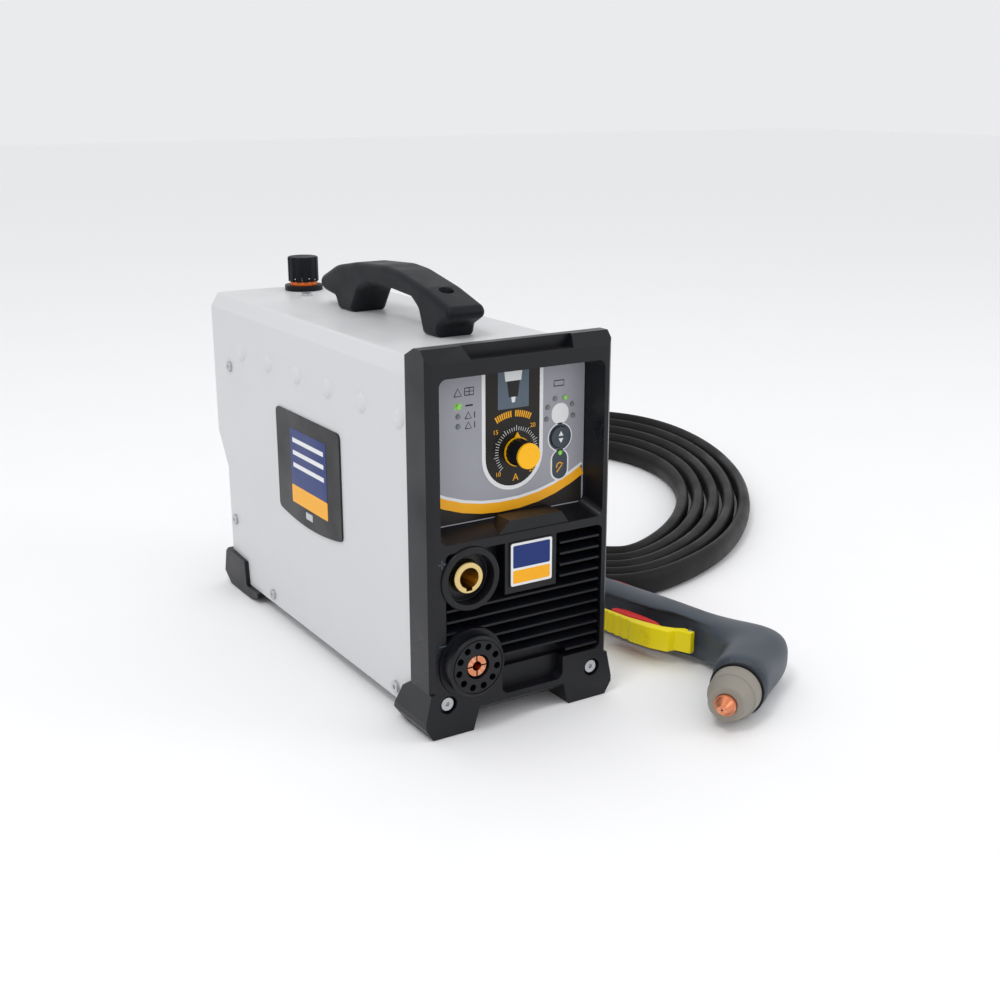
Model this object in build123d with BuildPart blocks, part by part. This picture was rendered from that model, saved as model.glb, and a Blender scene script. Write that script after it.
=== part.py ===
from build123d import *
import os
from math import cos, pi, radians, sin, tan

os.makedirs("parts", exist_ok=True)

# Plasma cutter unit. +Z is up and the control panel faces -Y.
# The origin is the centre of the four screw holes in the undersides of the feet.

# ---------------------------------------------------------------- driving dimensions, mm
FRONT_Y = -165.0          # front plane of the moulded front frame
FRAME_BACK_Y = -139.0     # where the front frame meets the casing
FRAME_HALF_W = 66.0
FRAME_TOP_Z = 242.0
REAR_Y = 180.0            # upper rear panel
REAR_LOW_Y = 163.0        # stepped-in lower rear panel
STEP_TOP_Z = 125.0
STEP_LOW_Z = 98.0
CASE_HALF_W = 63.5
CASE_TOP_Z = 233.0
CASE_BOTTOM_Z = 9.0
CHAMFER_IN = 6.0          # long edge chamfer of the hood
CHAMFER_DOWN = 10.0
SHEET = 1.2
INNER_HALF_W = CASE_HALF_W - SHEET - 0.1

PANEL_FACE_Y = -147.6     # visible face of the control overlay
KNOB_X, KNOB_Z = 6.0, 170.5
BUTTON_X, BUTTON_Z = 38.4, 175.2
SOCKET_X = -38.0
PLUS_Z = 101.0
TORCH_SOCKET_Z = 46.6
REGULATOR_X, REGULATOR_Y = 5.0, 158.0
REAR_FITTING_Z = 196.0
FAN_Z = 54.0
FAN_HALF = 40.0

SIDE_SCREWS = [(147, 181), (153, 57), (83, 16), (-115, 17)]     # y, z on both sides
TOP_SCREW = (-7.0, 126.0)
HANDLE_SCREW_Y = (-74.0, 47.0)
FOOT_X = 52.0
FOOT_HOLE_Y = 148.5
FOOT_HOLE_R = 2.25
FOOT_HOLE_DEPTH = 8.0

TORCH_Z = 18.5            # the torch lies on its side with this mid-plane
HEAD_PIVOT = (160.0, -209.0)
HEAD_DIR = (-0.843, -0.538)
LEAD_HALF_THICK = 6.0     # flat-oval lead, which stands on its narrow edge
LEAD_HALF_TALL = 10.0
LEAD_Z = 10.2             # centre of the lead where it lies on the floor

SIDES = (-1, 1)


def front_plane(y):
    """Vertical plane at the given y, facing -Y, with local x along +X and local y along +Z."""
    return Plane.XZ.offset(-y)


# ---------------------------------------------------------------- casing hood
def hood_profile(shrink):
    half = CASE_HALF_W - shrink
    top = CASE_TOP_Z - shrink
    knee = 0.45 * shrink
    return [(-half, 0), (-half, CASE_TOP_Z - CHAMFER_DOWN - knee),
            (-CASE_HALF_W + CHAMFER_IN + knee, top), (CASE_HALF_W - CHAMFER_IN - knee, top),
            (half, CASE_TOP_Z - CHAMFER_DOWN - knee), (half, 0)]


DIMPLE_R, DIMPLE_HEIGHT = 7.2, 2.2
DIMPLE_YS = [122.4 - 49.6 * i for i in range(6)]
DIMPLE_Z = 196.0

with BuildPart() as casing_hood:
    with BuildSketch(front_plane(REAR_Y)) as section:
        with BuildLine():
            Polyline(*hood_profile(0), close=True)
        make_face()
        fillet(section.vertices().group_by(Axis.Y)[1:], radius=3)
        with BuildLine():
            Polyline(*hood_profile(SHEET), close=True)
        make_face(mode=Mode.SUBTRACT)
        with Locations((0, CASE_BOTTOM_Z / 2)):
            Rectangle(4 * CASE_HALF_W, CASE_BOTTOM_Z, mode=Mode.SUBTRACT)
    extrude(amount=REAR_Y - FRAME_BACK_Y)
    for side in SIDES:
        for y in DIMPLE_YS:
            with BuildSketch(Plane.YZ.offset(side * (CASE_HALF_W - 0.4))):
                with Locations((y, DIMPLE_Z)):
                    Circle(DIMPLE_R)
            with BuildSketch(Plane.YZ.offset(side * (CASE_HALF_W + 0.62 * DIMPLE_HEIGHT))):
                with Locations((y, DIMPLE_Z)):
                    Circle(0.74 * DIMPLE_R)
            with BuildSketch(Plane.YZ.offset(side * (CASE_HALF_W + DIMPLE_HEIGHT))):
                with Locations((y, DIMPLE_Z)):
                    Circle(0.3 * DIMPLE_R)
            loft()
    with BuildSketch(Plane.YZ.offset(-2 * CASE_HALF_W)):
        with BuildLine():
            Polyline((REAR_LOW_Y, 0), (REAR_LOW_Y, STEP_LOW_Z), (REAR_Y, STEP_TOP_Z),
                     (REAR_Y + 20, STEP_TOP_Z), (REAR_Y + 20, 0), close=True)
        make_face()
    extrude(amount=4 * CASE_HALF_W, mode=Mode.SUBTRACT)
    with BuildSketch(Plane.YZ.offset(-2 * CASE_HALF_W)):
        with Locations(*SIDE_SCREWS):
            Circle(2.1)
    extrude(amount=4 * CASE_HALF_W, mode=Mode.SUBTRACT)
    with BuildSketch(Plane.XY.offset(CASE_TOP_Z + 5)):
        with Locations((REGULATOR_X, REGULATOR_Y)):
            Circle(13.0)
        with Locations((0, HANDLE_SCREW_Y[0]), (0, HANDLE_SCREW_Y[1])):
            Circle(2.3)
        with Locations(TOP_SCREW):
            Circle(2.1)
    extrude(amount=-10, mode=Mode.SUBTRACT)
casing_hood.part.label = "casing_hood"
export_step(casing_hood.part, "parts/casing_hood.step")

# ---------------------------------------------------------------- base tray
BASE_FLANGE = 18.0
with BuildPart() as base_plate:
    with BuildSketch(front_plane(REAR_LOW_Y - 1.6)):
        with Locations((0, CASE_BOTTOM_Z + BASE_FLANGE / 2)):
            Rectangle(2 * INNER_HALF_W, BASE_FLANGE)
        with Locations((0, CASE_BOTTOM_Z + SHEET + BASE_FLANGE / 2)):
            Rectangle(2 * (INNER_HALF_W - SHEET), BASE_FLANGE, mode=Mode.SUBTRACT)
    extrude(amount=REAR_LOW_Y - 1.6 - FRAME_BACK_Y)
    with BuildSketch(Plane.YZ.offset(-2 * CASE_HALF_W)):
        with Locations(*SIDE_SCREWS[2:]):
            Circle(2.1)
    extrude(amount=4 * CASE_HALF_W, mode=Mode.SUBTRACT)
    with BuildSketch(Plane.XY):
        with GridLocations(2 * FOOT_X, 0, 2, 1):
            with Locations((0, FOOT_HOLE_Y)):
                Circle(FOOT_HOLE_R + 0.25)
        with Locations((0, 40)):
            with GridLocations(12, 46, 7, 3):
                SlotOverall(34, 4, rotation=90)
    extrude(amount=20, mode=Mode.SUBTRACT)
base_plate.part.label = "base_plate"
export_step(base_plate.part, "parts/base_plate.step")

# ---------------------------------------------------------------- front frame with its feet
WINDOW = dict(left=-55.0, right=57.0, bottom=130.0, top=224.0)
GRILLE = dict(left=-55.0, right=60.0, bottom=34.0, top=119.0)
SILL_Z = 124.5
FOOT_SCREW_X, FOOT_SCREW_Z = 54.0, 21.5

PANEL_BACK_Y = -144.5
LED_ARC = dict(x=38.2, z=190.5, r=10.3)
LED_PLACES = [(LED_ARC["x"] + LED_ARC["r"] * cos(radians(a)), LED_ARC["z"] + LED_ARC["r"] * sin(radians(a)))
              for a in range(195, -16, -42)]
LED_PLACES += [(-35.3, 203.5), (-35.3, 197.4), (-35.3, 191.3), (38.6, 165.0)]

with BuildPart() as front_frame:
    # side outline: bevelled top front edge, long slope back to the hood
    with BuildSketch(Plane.YZ.offset(-FRAME_HALF_W)):
        with BuildLine():
            Polyline((FRONT_Y, 15), (FRONT_Y, 234), (FRONT_Y + 7, FRAME_TOP_Z),
                     (FRONT_Y + 15, FRAME_TOP_Z), (FRAME_BACK_Y, 236.5), (FRAME_BACK_Y, 10),
                     (FRONT_Y + 6, 10), close=True)
        make_face()
    extrude(amount=2 * FRAME_HALF_W)
    chamfer(front_frame.edges().filter_by(Axis.Z).sort_by(Axis.Y)[:2], 3)
    # feet: flared blocks under both posts
    for side in SIDES:
        with BuildSketch(front_plane(FRONT_Y + 42)):
            with BuildLine():
                Polyline((side * 36, 0), (side * 65, 0), (side * 70, 8), (side * 70, 12),
                         (side * 66, 30), (side * 32, 30), (side * 32, 14), close=True)
            make_face()
        extrude(amount=42)
    with BuildSketch(Plane.YZ.offset(-80)):
        with BuildLine():
            Polyline((FRONT_Y + 26, 31), (FRONT_Y + 35, 25), (FRONT_Y + 42, 9),
                     (FRONT_Y + 36, -1), (FRONT_Y + 60, -1), (FRONT_Y + 60, 31), close=True)
        make_face()
    extrude(amount=160, mode=Mode.SUBTRACT)
    # the casing sits on the rear of the feet
    with Locations((0, FRAME_BACK_Y + 50, CASE_BOTTOM_Z + 50)):
        Box(2 * CASE_HALF_W + 0.2, 100, 100, mode=Mode.SUBTRACT)
    # shallow notch in the top front edge
    with BuildSketch(front_plane(FRONT_Y)):
        with BuildLine():
            Polyline((-41, FRAME_TOP_Z + 5), (-36, 234.5), (36, 234.5), (41, FRAME_TOP_Z + 5), close=True)
        make_face()
    extrude(amount=-9, mode=Mode.SUBTRACT)
    # control recess, drafted towards the overlay
    with BuildSketch(front_plane(FRONT_Y - 0.1)):
        with Locations((1, (SILL_Z + 225) / 2)):
            RectangleRounded(118, 225 - SILL_Z, 5)
    with BuildSketch(front_plane(-147)):
        with Locations(((WINDOW["left"] + WINDOW["right"]) / 2, (WINDOW["bottom"] + WINDOW["top"]) / 2)):
            RectangleRounded(WINDOW["right"] - WINDOW["left"], WINDOW["top"] - WINDOW["bottom"], 5)
    loft(mode=Mode.SUBTRACT)
    # hollow behind the panel wall and behind the grille
    with BuildSketch(front_plane(PANEL_BACK_Y)):
        with Locations((1, 128)):
            Rectangle(120, 202)
    extrude(amount=-10, mode=Mode.SUBTRACT)
    # knob, button and light holes in the panel wall
    with BuildSketch(front_plane(-150)):
        with Locations((KNOB_X, KNOB_Z)):
            Circle(4.2)
        with Locations((BUTTON_X, BUTTON_Z)):
            Circle(7.3)
        with Locations(*LED_PLACES):
            Circle(1.7)
    extrude(amount=-10, mode=Mode.SUBTRACT)
    # grille opening
    with BuildSketch(front_plane(FRONT_Y - 1)):
        with Locations(((GRILLE["left"] + GRILLE["right"]) / 2, (GRILLE["bottom"] + GRILLE["top"]) / 2)):
            RectangleRounded(GRILLE["right"] - GRILLE["left"], GRILLE["top"] - GRILLE["bottom"], 4)
    extrude(amount=-26, mode=Mode.SUBTRACT)
    # round openings for the two sockets
    with BuildSketch(front_plane(FRONT_Y - 1)):
        with Locations((SOCKET_X, PLUS_Z)):
            Circle(20.5)
        with Locations((SOCKET_X, TORCH_SOCKET_Z)):
            Circle(22.6)
    extrude(amount=-40, mode=Mode.SUBTRACT)
    # finger pocket in the bottom bar
    with BuildSketch(front_plane(FRONT_Y - 1)):
        with Locations((8, 31)):
            RectangleRounded(46, 24, 5)
    extrude(amount=-9, mode=Mode.SUBTRACT)
    # raised block in the sill, with ramped ends
    with BuildSketch(front_plane(FRONT_Y + 0.8)):
        with BuildLine():
            Polyline((-20, SILL_Z - 2), (-9, 132.5), (29, 132.5), (36, SILL_Z - 2), close=True)
        make_face()
    extrude(amount=-15)
    # front foot screws, foot screw holes
    with BuildSketch(front_plane(FRONT_Y)):
        with Locations((-FOOT_SCREW_X, FOOT_SCREW_Z), (FOOT_SCREW_X, FOOT_SCREW_Z)):
            Circle(6)
    extrude(amount=-4, mode=Mode.SUBTRACT)
    with BuildSketch(front_plane(FRONT_Y)):
        with Locations((-FOOT_SCREW_X, FOOT_SCREW_Z), (FOOT_SCREW_X, FOOT_SCREW_Z)):
            Circle(2.1)
    extrude(amount=-18, mode=Mode.SUBTRACT)
    with BuildSketch(Plane.XY):
        with Locations((-FOOT_X, -FOOT_HOLE_Y), (FOOT_X, -FOOT_HOLE_Y)):
            Circle(FOOT_HOLE_R)
    extrude(amount=FOOT_HOLE_DEPTH, mode=Mode.SUBTRACT)
front_frame.part.label = "front_frame"
export_step(front_frame.part, "parts/front_frame.step")

# ---------------------------------------------------------------- louvred grille insert
LOUVRE_PITCH = 7.35
LOUVRE_TOP_Z = 112.2
LOUVRES = 11
BADGE_LEFT, BADGE_RIGHT, BADGE_BOTTOM, BADGE_TOP = -9.0, 23.0, 88.5, 120.0
with BuildPart() as front_grille:
    with BuildSketch(front_plane(-150)):
        with Locations(((GRILLE["left"] + GRILLE["right"]) / 2, (GRILLE["bottom"] + GRILLE["top"]) / 2)):
            RectangleRounded(GRILLE["right"] - GRILLE["left"] - 0.2, GRILLE["top"] - GRILLE["bottom"] - 0.2, 4)
    extrude(amount=3)
    for i in range(LOUVRES):
        z = LOUVRE_TOP_Z - LOUVRE_PITCH * i
        left = 28.5 if z > BADGE_BOTTOM - 3 else -54.0
        if z < 46:
            left = 34.0
        with BuildSketch(Plane.YZ.offset(left)):
            with BuildLine():
                Polyline((-163.8, z - 1.4), (-163.8, z), (-152.5, z + 3.6), (-152.5, z - 0.6), close=True)
            make_face()
        extrude(amount=58.6 - left)
    # badge pad and a solid skirt above the finger pocket
    with Locations(((BADGE_LEFT + BADGE_RIGHT) / 2, -158, (BADGE_BOTTOM + BADGE_TOP) / 2 - 2.5)):
        Box(BADGE_RIGHT - BADGE_LEFT + 6, 10.4, BADGE_TOP - BADGE_BOTTOM + 2.5)
    # air slots through the plate between the blades
    with BuildSketch(front_plane(-145)):
        for i in range(LOUVRES - 1):
            z = LOUVRE_TOP_Z - LOUVRE_PITCH * (i + 0.5)
            left = 30.0 if z > BADGE_BOTTOM - 6 else -10.0
            if z < 50:
                left = 36.0
            with Locations(((left + 57) / 2, z - 0.5)):
                Rectangle(57 - left, 2.6)
    extrude(amount=12, mode=Mode.SUBTRACT)
    # clear both sockets and the finger pocket
    with BuildSketch(front_plane(-140)):
        with Locations((SOCKET_X, PLUS_Z)):
            Circle(20.6)
        with Locations((SOCKET_X, TORCH_SOCKET_Z)):
            Circle(22.7)
        with Locations((SOCKET_X - 12, GRILLE["top"])):
            Rectangle(24, 30)
    extrude(amount=40, mode=Mode.SUBTRACT)
    with BuildSketch(front_plane(-153.5)):
        with Locations((8, 31)):
            RectangleRounded(46.4, 24.4, 5)
    extrude(amount=20, mode=Mode.SUBTRACT)
front_grille.part.label = "front_grille"
export_step(front_grille.part, "parts/front_grille.step")

# ---------------------------------------------------------------- front badge and side plaques
with BuildPart() as front_badge:
    with BuildSketch(front_plane(-163.2)):
        with Locations(((BADGE_LEFT + BADGE_RIGHT) / 2, (BADGE_BOTTOM + BADGE_TOP) / 2 - 1)):
            RectangleRounded(BADGE_RIGHT - BADGE_LEFT, BADGE_TOP - BADGE_BOTTOM - 2, 1.5)
    extrude(amount=0.8)
front_badge.part.label = "front_badge"
export_step(front_badge.part, "parts/front_badge.step")

PLAQUE_FRONT_Y, PLAQUE_REAR_Y = -43.5, 59.0
PLAQUE_TOP_Z, PLAQUE_BOTTOM_Z, PLAQUE_SAG = 168.0, 94.0, 5.0
with BuildPart() as side_plaques:
    for side in SIDES:
        with BuildSketch(Plane.YZ.offset(side * CASE_HALF_W)) as plaque_face:
            with BuildLine():
                Line((PLAQUE_FRONT_Y, PLAQUE_BOTTOM_Z), (PLAQUE_FRONT_Y, PLAQUE_TOP_Z))
                Line((PLAQUE_FRONT_Y, PLAQUE_TOP_Z), (PLAQUE_REAR_Y, PLAQUE_TOP_Z))
                Line((PLAQUE_REAR_Y, PLAQUE_TOP_Z), (PLAQUE_REAR_Y, PLAQUE_BOTTOM_Z))
                ThreePointArc((PLAQUE_REAR_Y, PLAQUE_BOTTOM_Z),
                              ((PLAQUE_FRONT_Y + PLAQUE_REAR_Y) / 2, PLAQUE_BOTTOM_Z - PLAQUE_SAG),
                              (PLAQUE_FRONT_Y, PLAQUE_BOTTOM_Z))
            make_face()
            fillet(plaque_face.vertices(), radius=4)
        extrude(amount=side * 1.4)
side_plaques.part.label = "side_plaques"
export_step(side_plaques.part, "parts/side_plaques.step")

# ---------------------------------------------------------------- rear panel
with BuildPart() as rear_panel:
    with BuildSketch(Plane.YZ.offset(-INNER_HALF_W)):
        with BuildLine():
            Polyline((REAR_Y - SHEET, CASE_TOP_Z - SHEET - 0.2), (REAR_Y, CASE_TOP_Z - SHEET - 0.2),
                     (REAR_Y, STEP_TOP_Z), (REAR_LOW_Y, STEP_LOW_Z), (REAR_LOW_Y, CASE_BOTTOM_Z + 1.4),
                     (REAR_LOW_Y - SHEET, CASE_BOTTOM_Z + 1.4), (REAR_LOW_Y - SHEET, STEP_LOW_Z + 0.6),
                     (REAR_Y - SHEET, STEP_TOP_Z + 0.6), close=True)
        make_face()
    extrude(amount=2 * INNER_HALF_W)
    # follow the chamfers of the hood
    for side in SIDES:
        with BuildSketch(front_plane(REAR_Y + 5)):
            with BuildLine():
                Polyline((side * (CASE_HALF_W - SHEET - 0.1), CASE_TOP_Z - CHAMFER_DOWN - 1.2),
                         (side * (CASE_HALF_W - CHAMFER_IN - 1.2), CASE_TOP_Z - SHEET - 0.1),
                         (side * (CASE_HALF_W + 5), CASE_TOP_Z + 5), close=True)
            make_face()
        extrude(amount=20, mode=Mode.SUBTRACT)
    with BuildSketch(front_plane(REAR_Y + 5)):
        with Locations((REGULATOR_X, REAR_FITTING_Z)):
            Circle(9)
        with Locations((40, REAR_FITTING_Z)):
            Circle(10.2)
        with Locations((-36, REAR_FITTING_Z)):
            Rectangle(22.4, 30.4)
        with Locations((0, FAN_Z)):
            Circle(37)
            with GridLocations(71.5, 71.5, 2, 2):
                Circle(2.2)
    extrude(amount=30, mode=Mode.SUBTRACT)
rear_panel.part.label = "rear_panel"
export_step(rear_panel.part, "parts/rear_panel.step")

# ---------------------------------------------------------------- rear feet
with BuildPart() as rear_feet:
    for side in SIDES:
        start = 41 if side > 0 else -67
        with BuildSketch(Plane.YZ.offset(start)):
            with BuildLine():
                Polyline((108, 5), (124, 0), (164, 0), (176, 8), (171, 27), (167, 30), (132, 28),
                         (130, 9), (108, 9), close=True)
            make_face()
        extrude(amount=26)
    with Locations((0, REAR_LOW_Y - 50, CASE_BOTTOM_Z + 50)):
        Box(2 * CASE_HALF_W + 0.1, 100.1, 100, mode=Mode.SUBTRACT)
    with BuildSketch(Plane.XY):
        with Locations((-FOOT_X, FOOT_HOLE_Y), (FOOT_X, FOOT_HOLE_Y)):
            Circle(FOOT_HOLE_R)
    extrude(amount=20, mode=Mode.SUBTRACT)
rear_feet.part.label = "rear_feet"
export_step(rear_feet.part, "parts/rear_feet.step")

# ---------------------------------------------------------------- carry handle
HANDLE_HALF_W = 14.0
HANDLE_OUTLINE = [(58, 233), (63, 241), (80, 243), (91, 247), (84, 254), (61, 263.5), (31, 268.5),
                  (-12, 271), (-32, 269.5), (-70, 262), (-98, 254), (-103, 248), (-88, 240),
                  (-86, 233), (-66, 233), (-60, 248), (-50, 254.5), (-20, 256.5), (8, 255.5),
                  (24, 250), (36, 233)]
HANDLE_RADII = [1, 5, 20, 5, 10, 40, 60, 60, 60, 60, 5, 4.5, 5, 1, 1, 8, 12, 40, 20, 12, 1]
with BuildPart() as carry_handle:
    with BuildSketch(Plane.YZ):
        with BuildLine():
            FilletPolyline(*HANDLE_OUTLINE, radius=HANDLE_RADII, close=True)
        make_face()
    extrude(amount=HANDLE_HALF_W, both=True)
    fillet(carry_handle.faces().filter_by(Axis.X).edges().filter_by(lambda edge: edge.center().Z > 241), 4)
    with BuildSketch(Plane.XY.offset(280)):
        with Locations((0, HANDLE_SCREW_Y[0])):
            Circle(5)
    extrude(amount=-30, mode=Mode.SUBTRACT)
    with BuildSketch(Plane.XY.offset(CASE_TOP_Z)):
        with Locations((0, HANDLE_SCREW_Y[0]), (0, HANDLE_SCREW_Y[1])):
            Circle(2.1)
    extrude(amount=17.5, mode=Mode.SUBTRACT)
carry_handle.part.label = "carry_handle"
export_step(carry_handle.part, "parts/carry_handle.step")

# ---------------------------------------------------------------- casing screws
with BuildPart() as housing_screws:
    for side in SIDES:
        with BuildSketch(Plane.YZ.offset(side * (CASE_HALF_W + 0.02))):
            with Locations(*SIDE_SCREWS):
                Circle(4)
        extrude(amount=side * 2)
        with BuildSketch(Plane.YZ.offset(side * (CASE_HALF_W + 2.1))):
            with Locations(*SIDE_SCREWS):
                Circle(1.5)
        extrude(amount=-side * 1.2, mode=Mode.SUBTRACT)
        with BuildSketch(Plane.YZ.offset(side * (CASE_HALF_W + 0.02))):
            with Locations(*SIDE_SCREWS):
                Circle(2)
        extrude(amount=-side * 8)
    with BuildSketch(Plane.XY.offset(CASE_TOP_Z + 0.02)):
        with Locations(TOP_SCREW):
            Circle(4)
    extrude(amount=2)
    with BuildSketch(Plane.XY.offset(CASE_TOP_Z + 0.02)):
        with Locations(TOP_SCREW):
            Circle(2)
    extrude(amount=-6)
    with BuildSketch(front_plane(FRONT_Y + 4)):
        with Locations((-FOOT_SCREW_X, FOOT_SCREW_Z), (FOOT_SCREW_X, FOOT_SCREW_Z)):
            Circle(4.2)
    extrude(amount=2.6)
    with BuildSketch(front_plane(FRONT_Y + 4)):
        with Locations((-FOOT_SCREW_X, FOOT_SCREW_Z), (FOOT_SCREW_X, FOOT_SCREW_Z)):
            Circle(2)
    extrude(amount=-13)
    with BuildSketch(front_plane(FRONT_Y + 1)):
        with Locations((-FOOT_SCREW_X, FOOT_SCREW_Z), (FOOT_SCREW_X, FOOT_SCREW_Z)):
            RegularPolygon(1.6, 6)
    extrude(amount=-2, mode=Mode.SUBTRACT)
    with BuildSketch(Plane.XY.offset(250.1)):
        with Locations((0, HANDLE_SCREW_Y[0])):
            Circle(4)
    extrude(amount=3)
    with BuildSketch(Plane.XY.offset(228)):
        with Locations((0, HANDLE_SCREW_Y[0])):
            Circle(2)
    extrude(amount=22.1)
    with BuildSketch(Plane.XY.offset(228)):
        with Locations((0, HANDLE_SCREW_Y[1])):
            Circle(4)
    extrude(amount=3.7)
    with BuildSketch(Plane.XY.offset(231)):
        with Locations((0, HANDLE_SCREW_Y[1])):
            Circle(2)
    extrude(amount=14)
housing_screws.part.label = "housing_screws"
export_step(housing_screws.part, "parts/housing_screws.step")

# ---------------------------------------------------------------- control panel
with BuildPart() as control_overlay:
    with BuildSketch(front_plane(-147.0)):
        with Locations((1, 177)):
            RectangleRounded(111.6, 93.6, 5)
        with Locations((KNOB_X, KNOB_Z)):
            Circle(4.2, mode=Mode.SUBTRACT)
        with Locations((BUTTON_X, BUTTON_Z)):
            Circle(7.3, mode=Mode.SUBTRACT)
        with Locations(*LED_PLACES):
            Circle(1.6, mode=Mode.SUBTRACT)
    extrude(amount=0.6)
control_overlay.part.label = "control_overlay"
export_step(control_overlay.part, "parts/control_overlay.step")

with BuildPart() as panel_leds:
    with BuildSketch(front_plane(-140.1)):
        with Locations(*LED_PLACES):
            Circle(1.5)
    extrude(amount=8)
panel_leds.part.label = "panel_leds"
export_step(panel_leds.part, "parts/panel_leds.step")

with BuildPart() as control_pcb:
    with BuildSketch(front_plane(-138.4)):
        with Locations((1, 177)):
            Rectangle(104, 88)
        with Locations((KNOB_X, KNOB_Z)):
            Circle(4.2, mode=Mode.SUBTRACT)
    extrude(amount=1.6)
control_pcb.part.label = "control_pcb"
export_step(control_pcb.part, "parts/control_pcb.step")

with BuildPart() as current_potentiometer:
    with BuildSketch(front_plane(-128)):
        with Locations((KNOB_X, KNOB_Z)):
            Circle(8.5)
    extrude(amount=10.3)
    with BuildSketch(front_plane(-138.3)):
        with Locations((KNOB_X, KNOB_Z)):
            Circle(4.0)
    extrude(amount=9.4)
    with BuildSketch(front_plane(-128)):
        with Locations((KNOB_X, KNOB_Z)):
            Circle(3.05)
    extrude(amount=25, mode=Mode.SUBTRACT)
current_potentiometer.part.label = "current_potentiometer"
export_step(current_potentiometer.part, "parts/current_potentiometer.step")

with BuildPart() as knob_spindle:
    with BuildSketch(front_plane(-129)):
        with Locations((KNOB_X, KNOB_Z)):
            Circle(3.0)
    extrude(amount=29)
knob_spindle.part.label = "knob_spindle"
export_step(knob_spindle.part, "parts/knob_spindle.step")

KNOB_BASE_Y, KNOB_CAP_Y = -149.2, -160.6
with BuildPart() as current_knob:
    with BuildSketch(front_plane(KNOB_BASE_Y)):
        with Locations((KNOB_X, KNOB_Z)):
            Circle(8.6)
    with BuildSketch(front_plane(KNOB_CAP_Y)):
        with Locations((KNOB_X, KNOB_Z)):
            Circle(8.1)
    loft()
    with BuildSketch(front_plane(KNOB_BASE_Y + 1)):
        with Locations((KNOB_X, KNOB_Z)):
            Circle(3.02)
    extrude(amount=10, mode=Mode.SUBTRACT)
    with BuildSketch(front_plane(KNOB_BASE_Y + 1)):
        with Locations((KNOB_X, KNOB_Z)):
            with PolarLocations(9.3, 18):
                Circle(1.0)
    extrude(amount=15, mode=Mode.SUBTRACT)
current_knob.part.label = "current_knob"
export_step(current_knob.part, "parts/current_knob.step")

with BuildPart() as knob_markers:
    with BuildSketch(front_plane(KNOB_CAP_Y)):
        with Locations((KNOB_X, KNOB_Z)):
            Circle(8.1)
    extrude(amount=1.8)
    fillet(knob_markers.edges().sort_by(Axis.Y)[0], 0.5)
    with BuildSketch(front_plane(KNOB_BASE_Y)):
        with Locations((KNOB_X, KNOB_Z)):
            Circle(9.3)
            Circle(4.3, mode=Mode.SUBTRACT)
        with BuildLine():
            Polyline((KNOB_X - 2.4, KNOB_Z + 8.6), (KNOB_X, KNOB_Z + 12.4), (KNOB_X + 2.4, KNOB_Z + 8.6),
                     close=True)
        make_face()
    extrude(amount=-0.9)
knob_markers.part.label = "knob_markers"
export_step(knob_markers.part, "parts/knob_markers.step")

with BuildPart() as air_test_button:
    with BuildSketch(front_plane(-142.0)):
        with Locations((BUTTON_X, BUTTON_Z)):
            Circle(6.9)
    extrude(amount=7.0)
    fillet(air_test_button.edges().sort_by(Axis.Y)[0], 0.6)
air_test_button.part.label = "air_test_button"
export_step(air_test_button.part, "parts/air_test_button.step")

# ---------------------------------------------------------------- positive socket
PLUS_BORE_R = 6.6
with BuildPart() as positive_socket_housing:
    with BuildSketch(front_plane(-142)):
        with Locations((SOCKET_X, PLUS_Z)):
            Circle(20.3)
    extrude(amount=24.6)
    fillet(positive_socket_housing.edges().sort_by(Axis.Y)[0], 1.2)
    with BuildSketch(front_plane(-170)):
        with Locations((SOCKET_X, PLUS_Z)):
            Circle(16.2)
    extrude(amount=-12, mode=Mode.SUBTRACT)
    with BuildSketch(front_plane(-170)):
        with Locations((SOCKET_X, PLUS_Z)):
            Circle(10.3)
    extrude(amount=-40, mode=Mode.SUBTRACT)
positive_socket_housing.part.label = "positive_socket_housing"
export_step(positive_socket_housing.part, "parts/positive_socket_housing.step")

with BuildPart() as positive_socket_brass:
    with BuildSketch(front_plane(-135)):
        with Locations((SOCKET_X, PLUS_Z)):
            Circle(10.25)
            Circle(PLUS_BORE_R, mode=Mode.SUBTRACT)
            with Locations((0, -PLUS_BORE_R)):
                Rectangle(4.2, 3.2, mode=Mode.SUBTRACT)
    extrude(amount=29)
    chamfer(positive_socket_brass.faces().sort_by(Axis.Y)[0].outer_wire().edges(), 0.8)
    with BuildSketch(front_plane(-135)):
        with Locations((SOCKET_X, PLUS_Z)):
            Circle(10.25)
    extrude(amount=-8)
    with BuildSketch(front_plane(-127)):
        with Locations((SOCKET_X, PLUS_Z)):
            Circle(5)
    extrude(amount=-10)
positive_socket_brass.part.label = "positive_socket_brass"
export_step(positive_socket_brass.part, "parts/positive_socket_brass.step")

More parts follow.
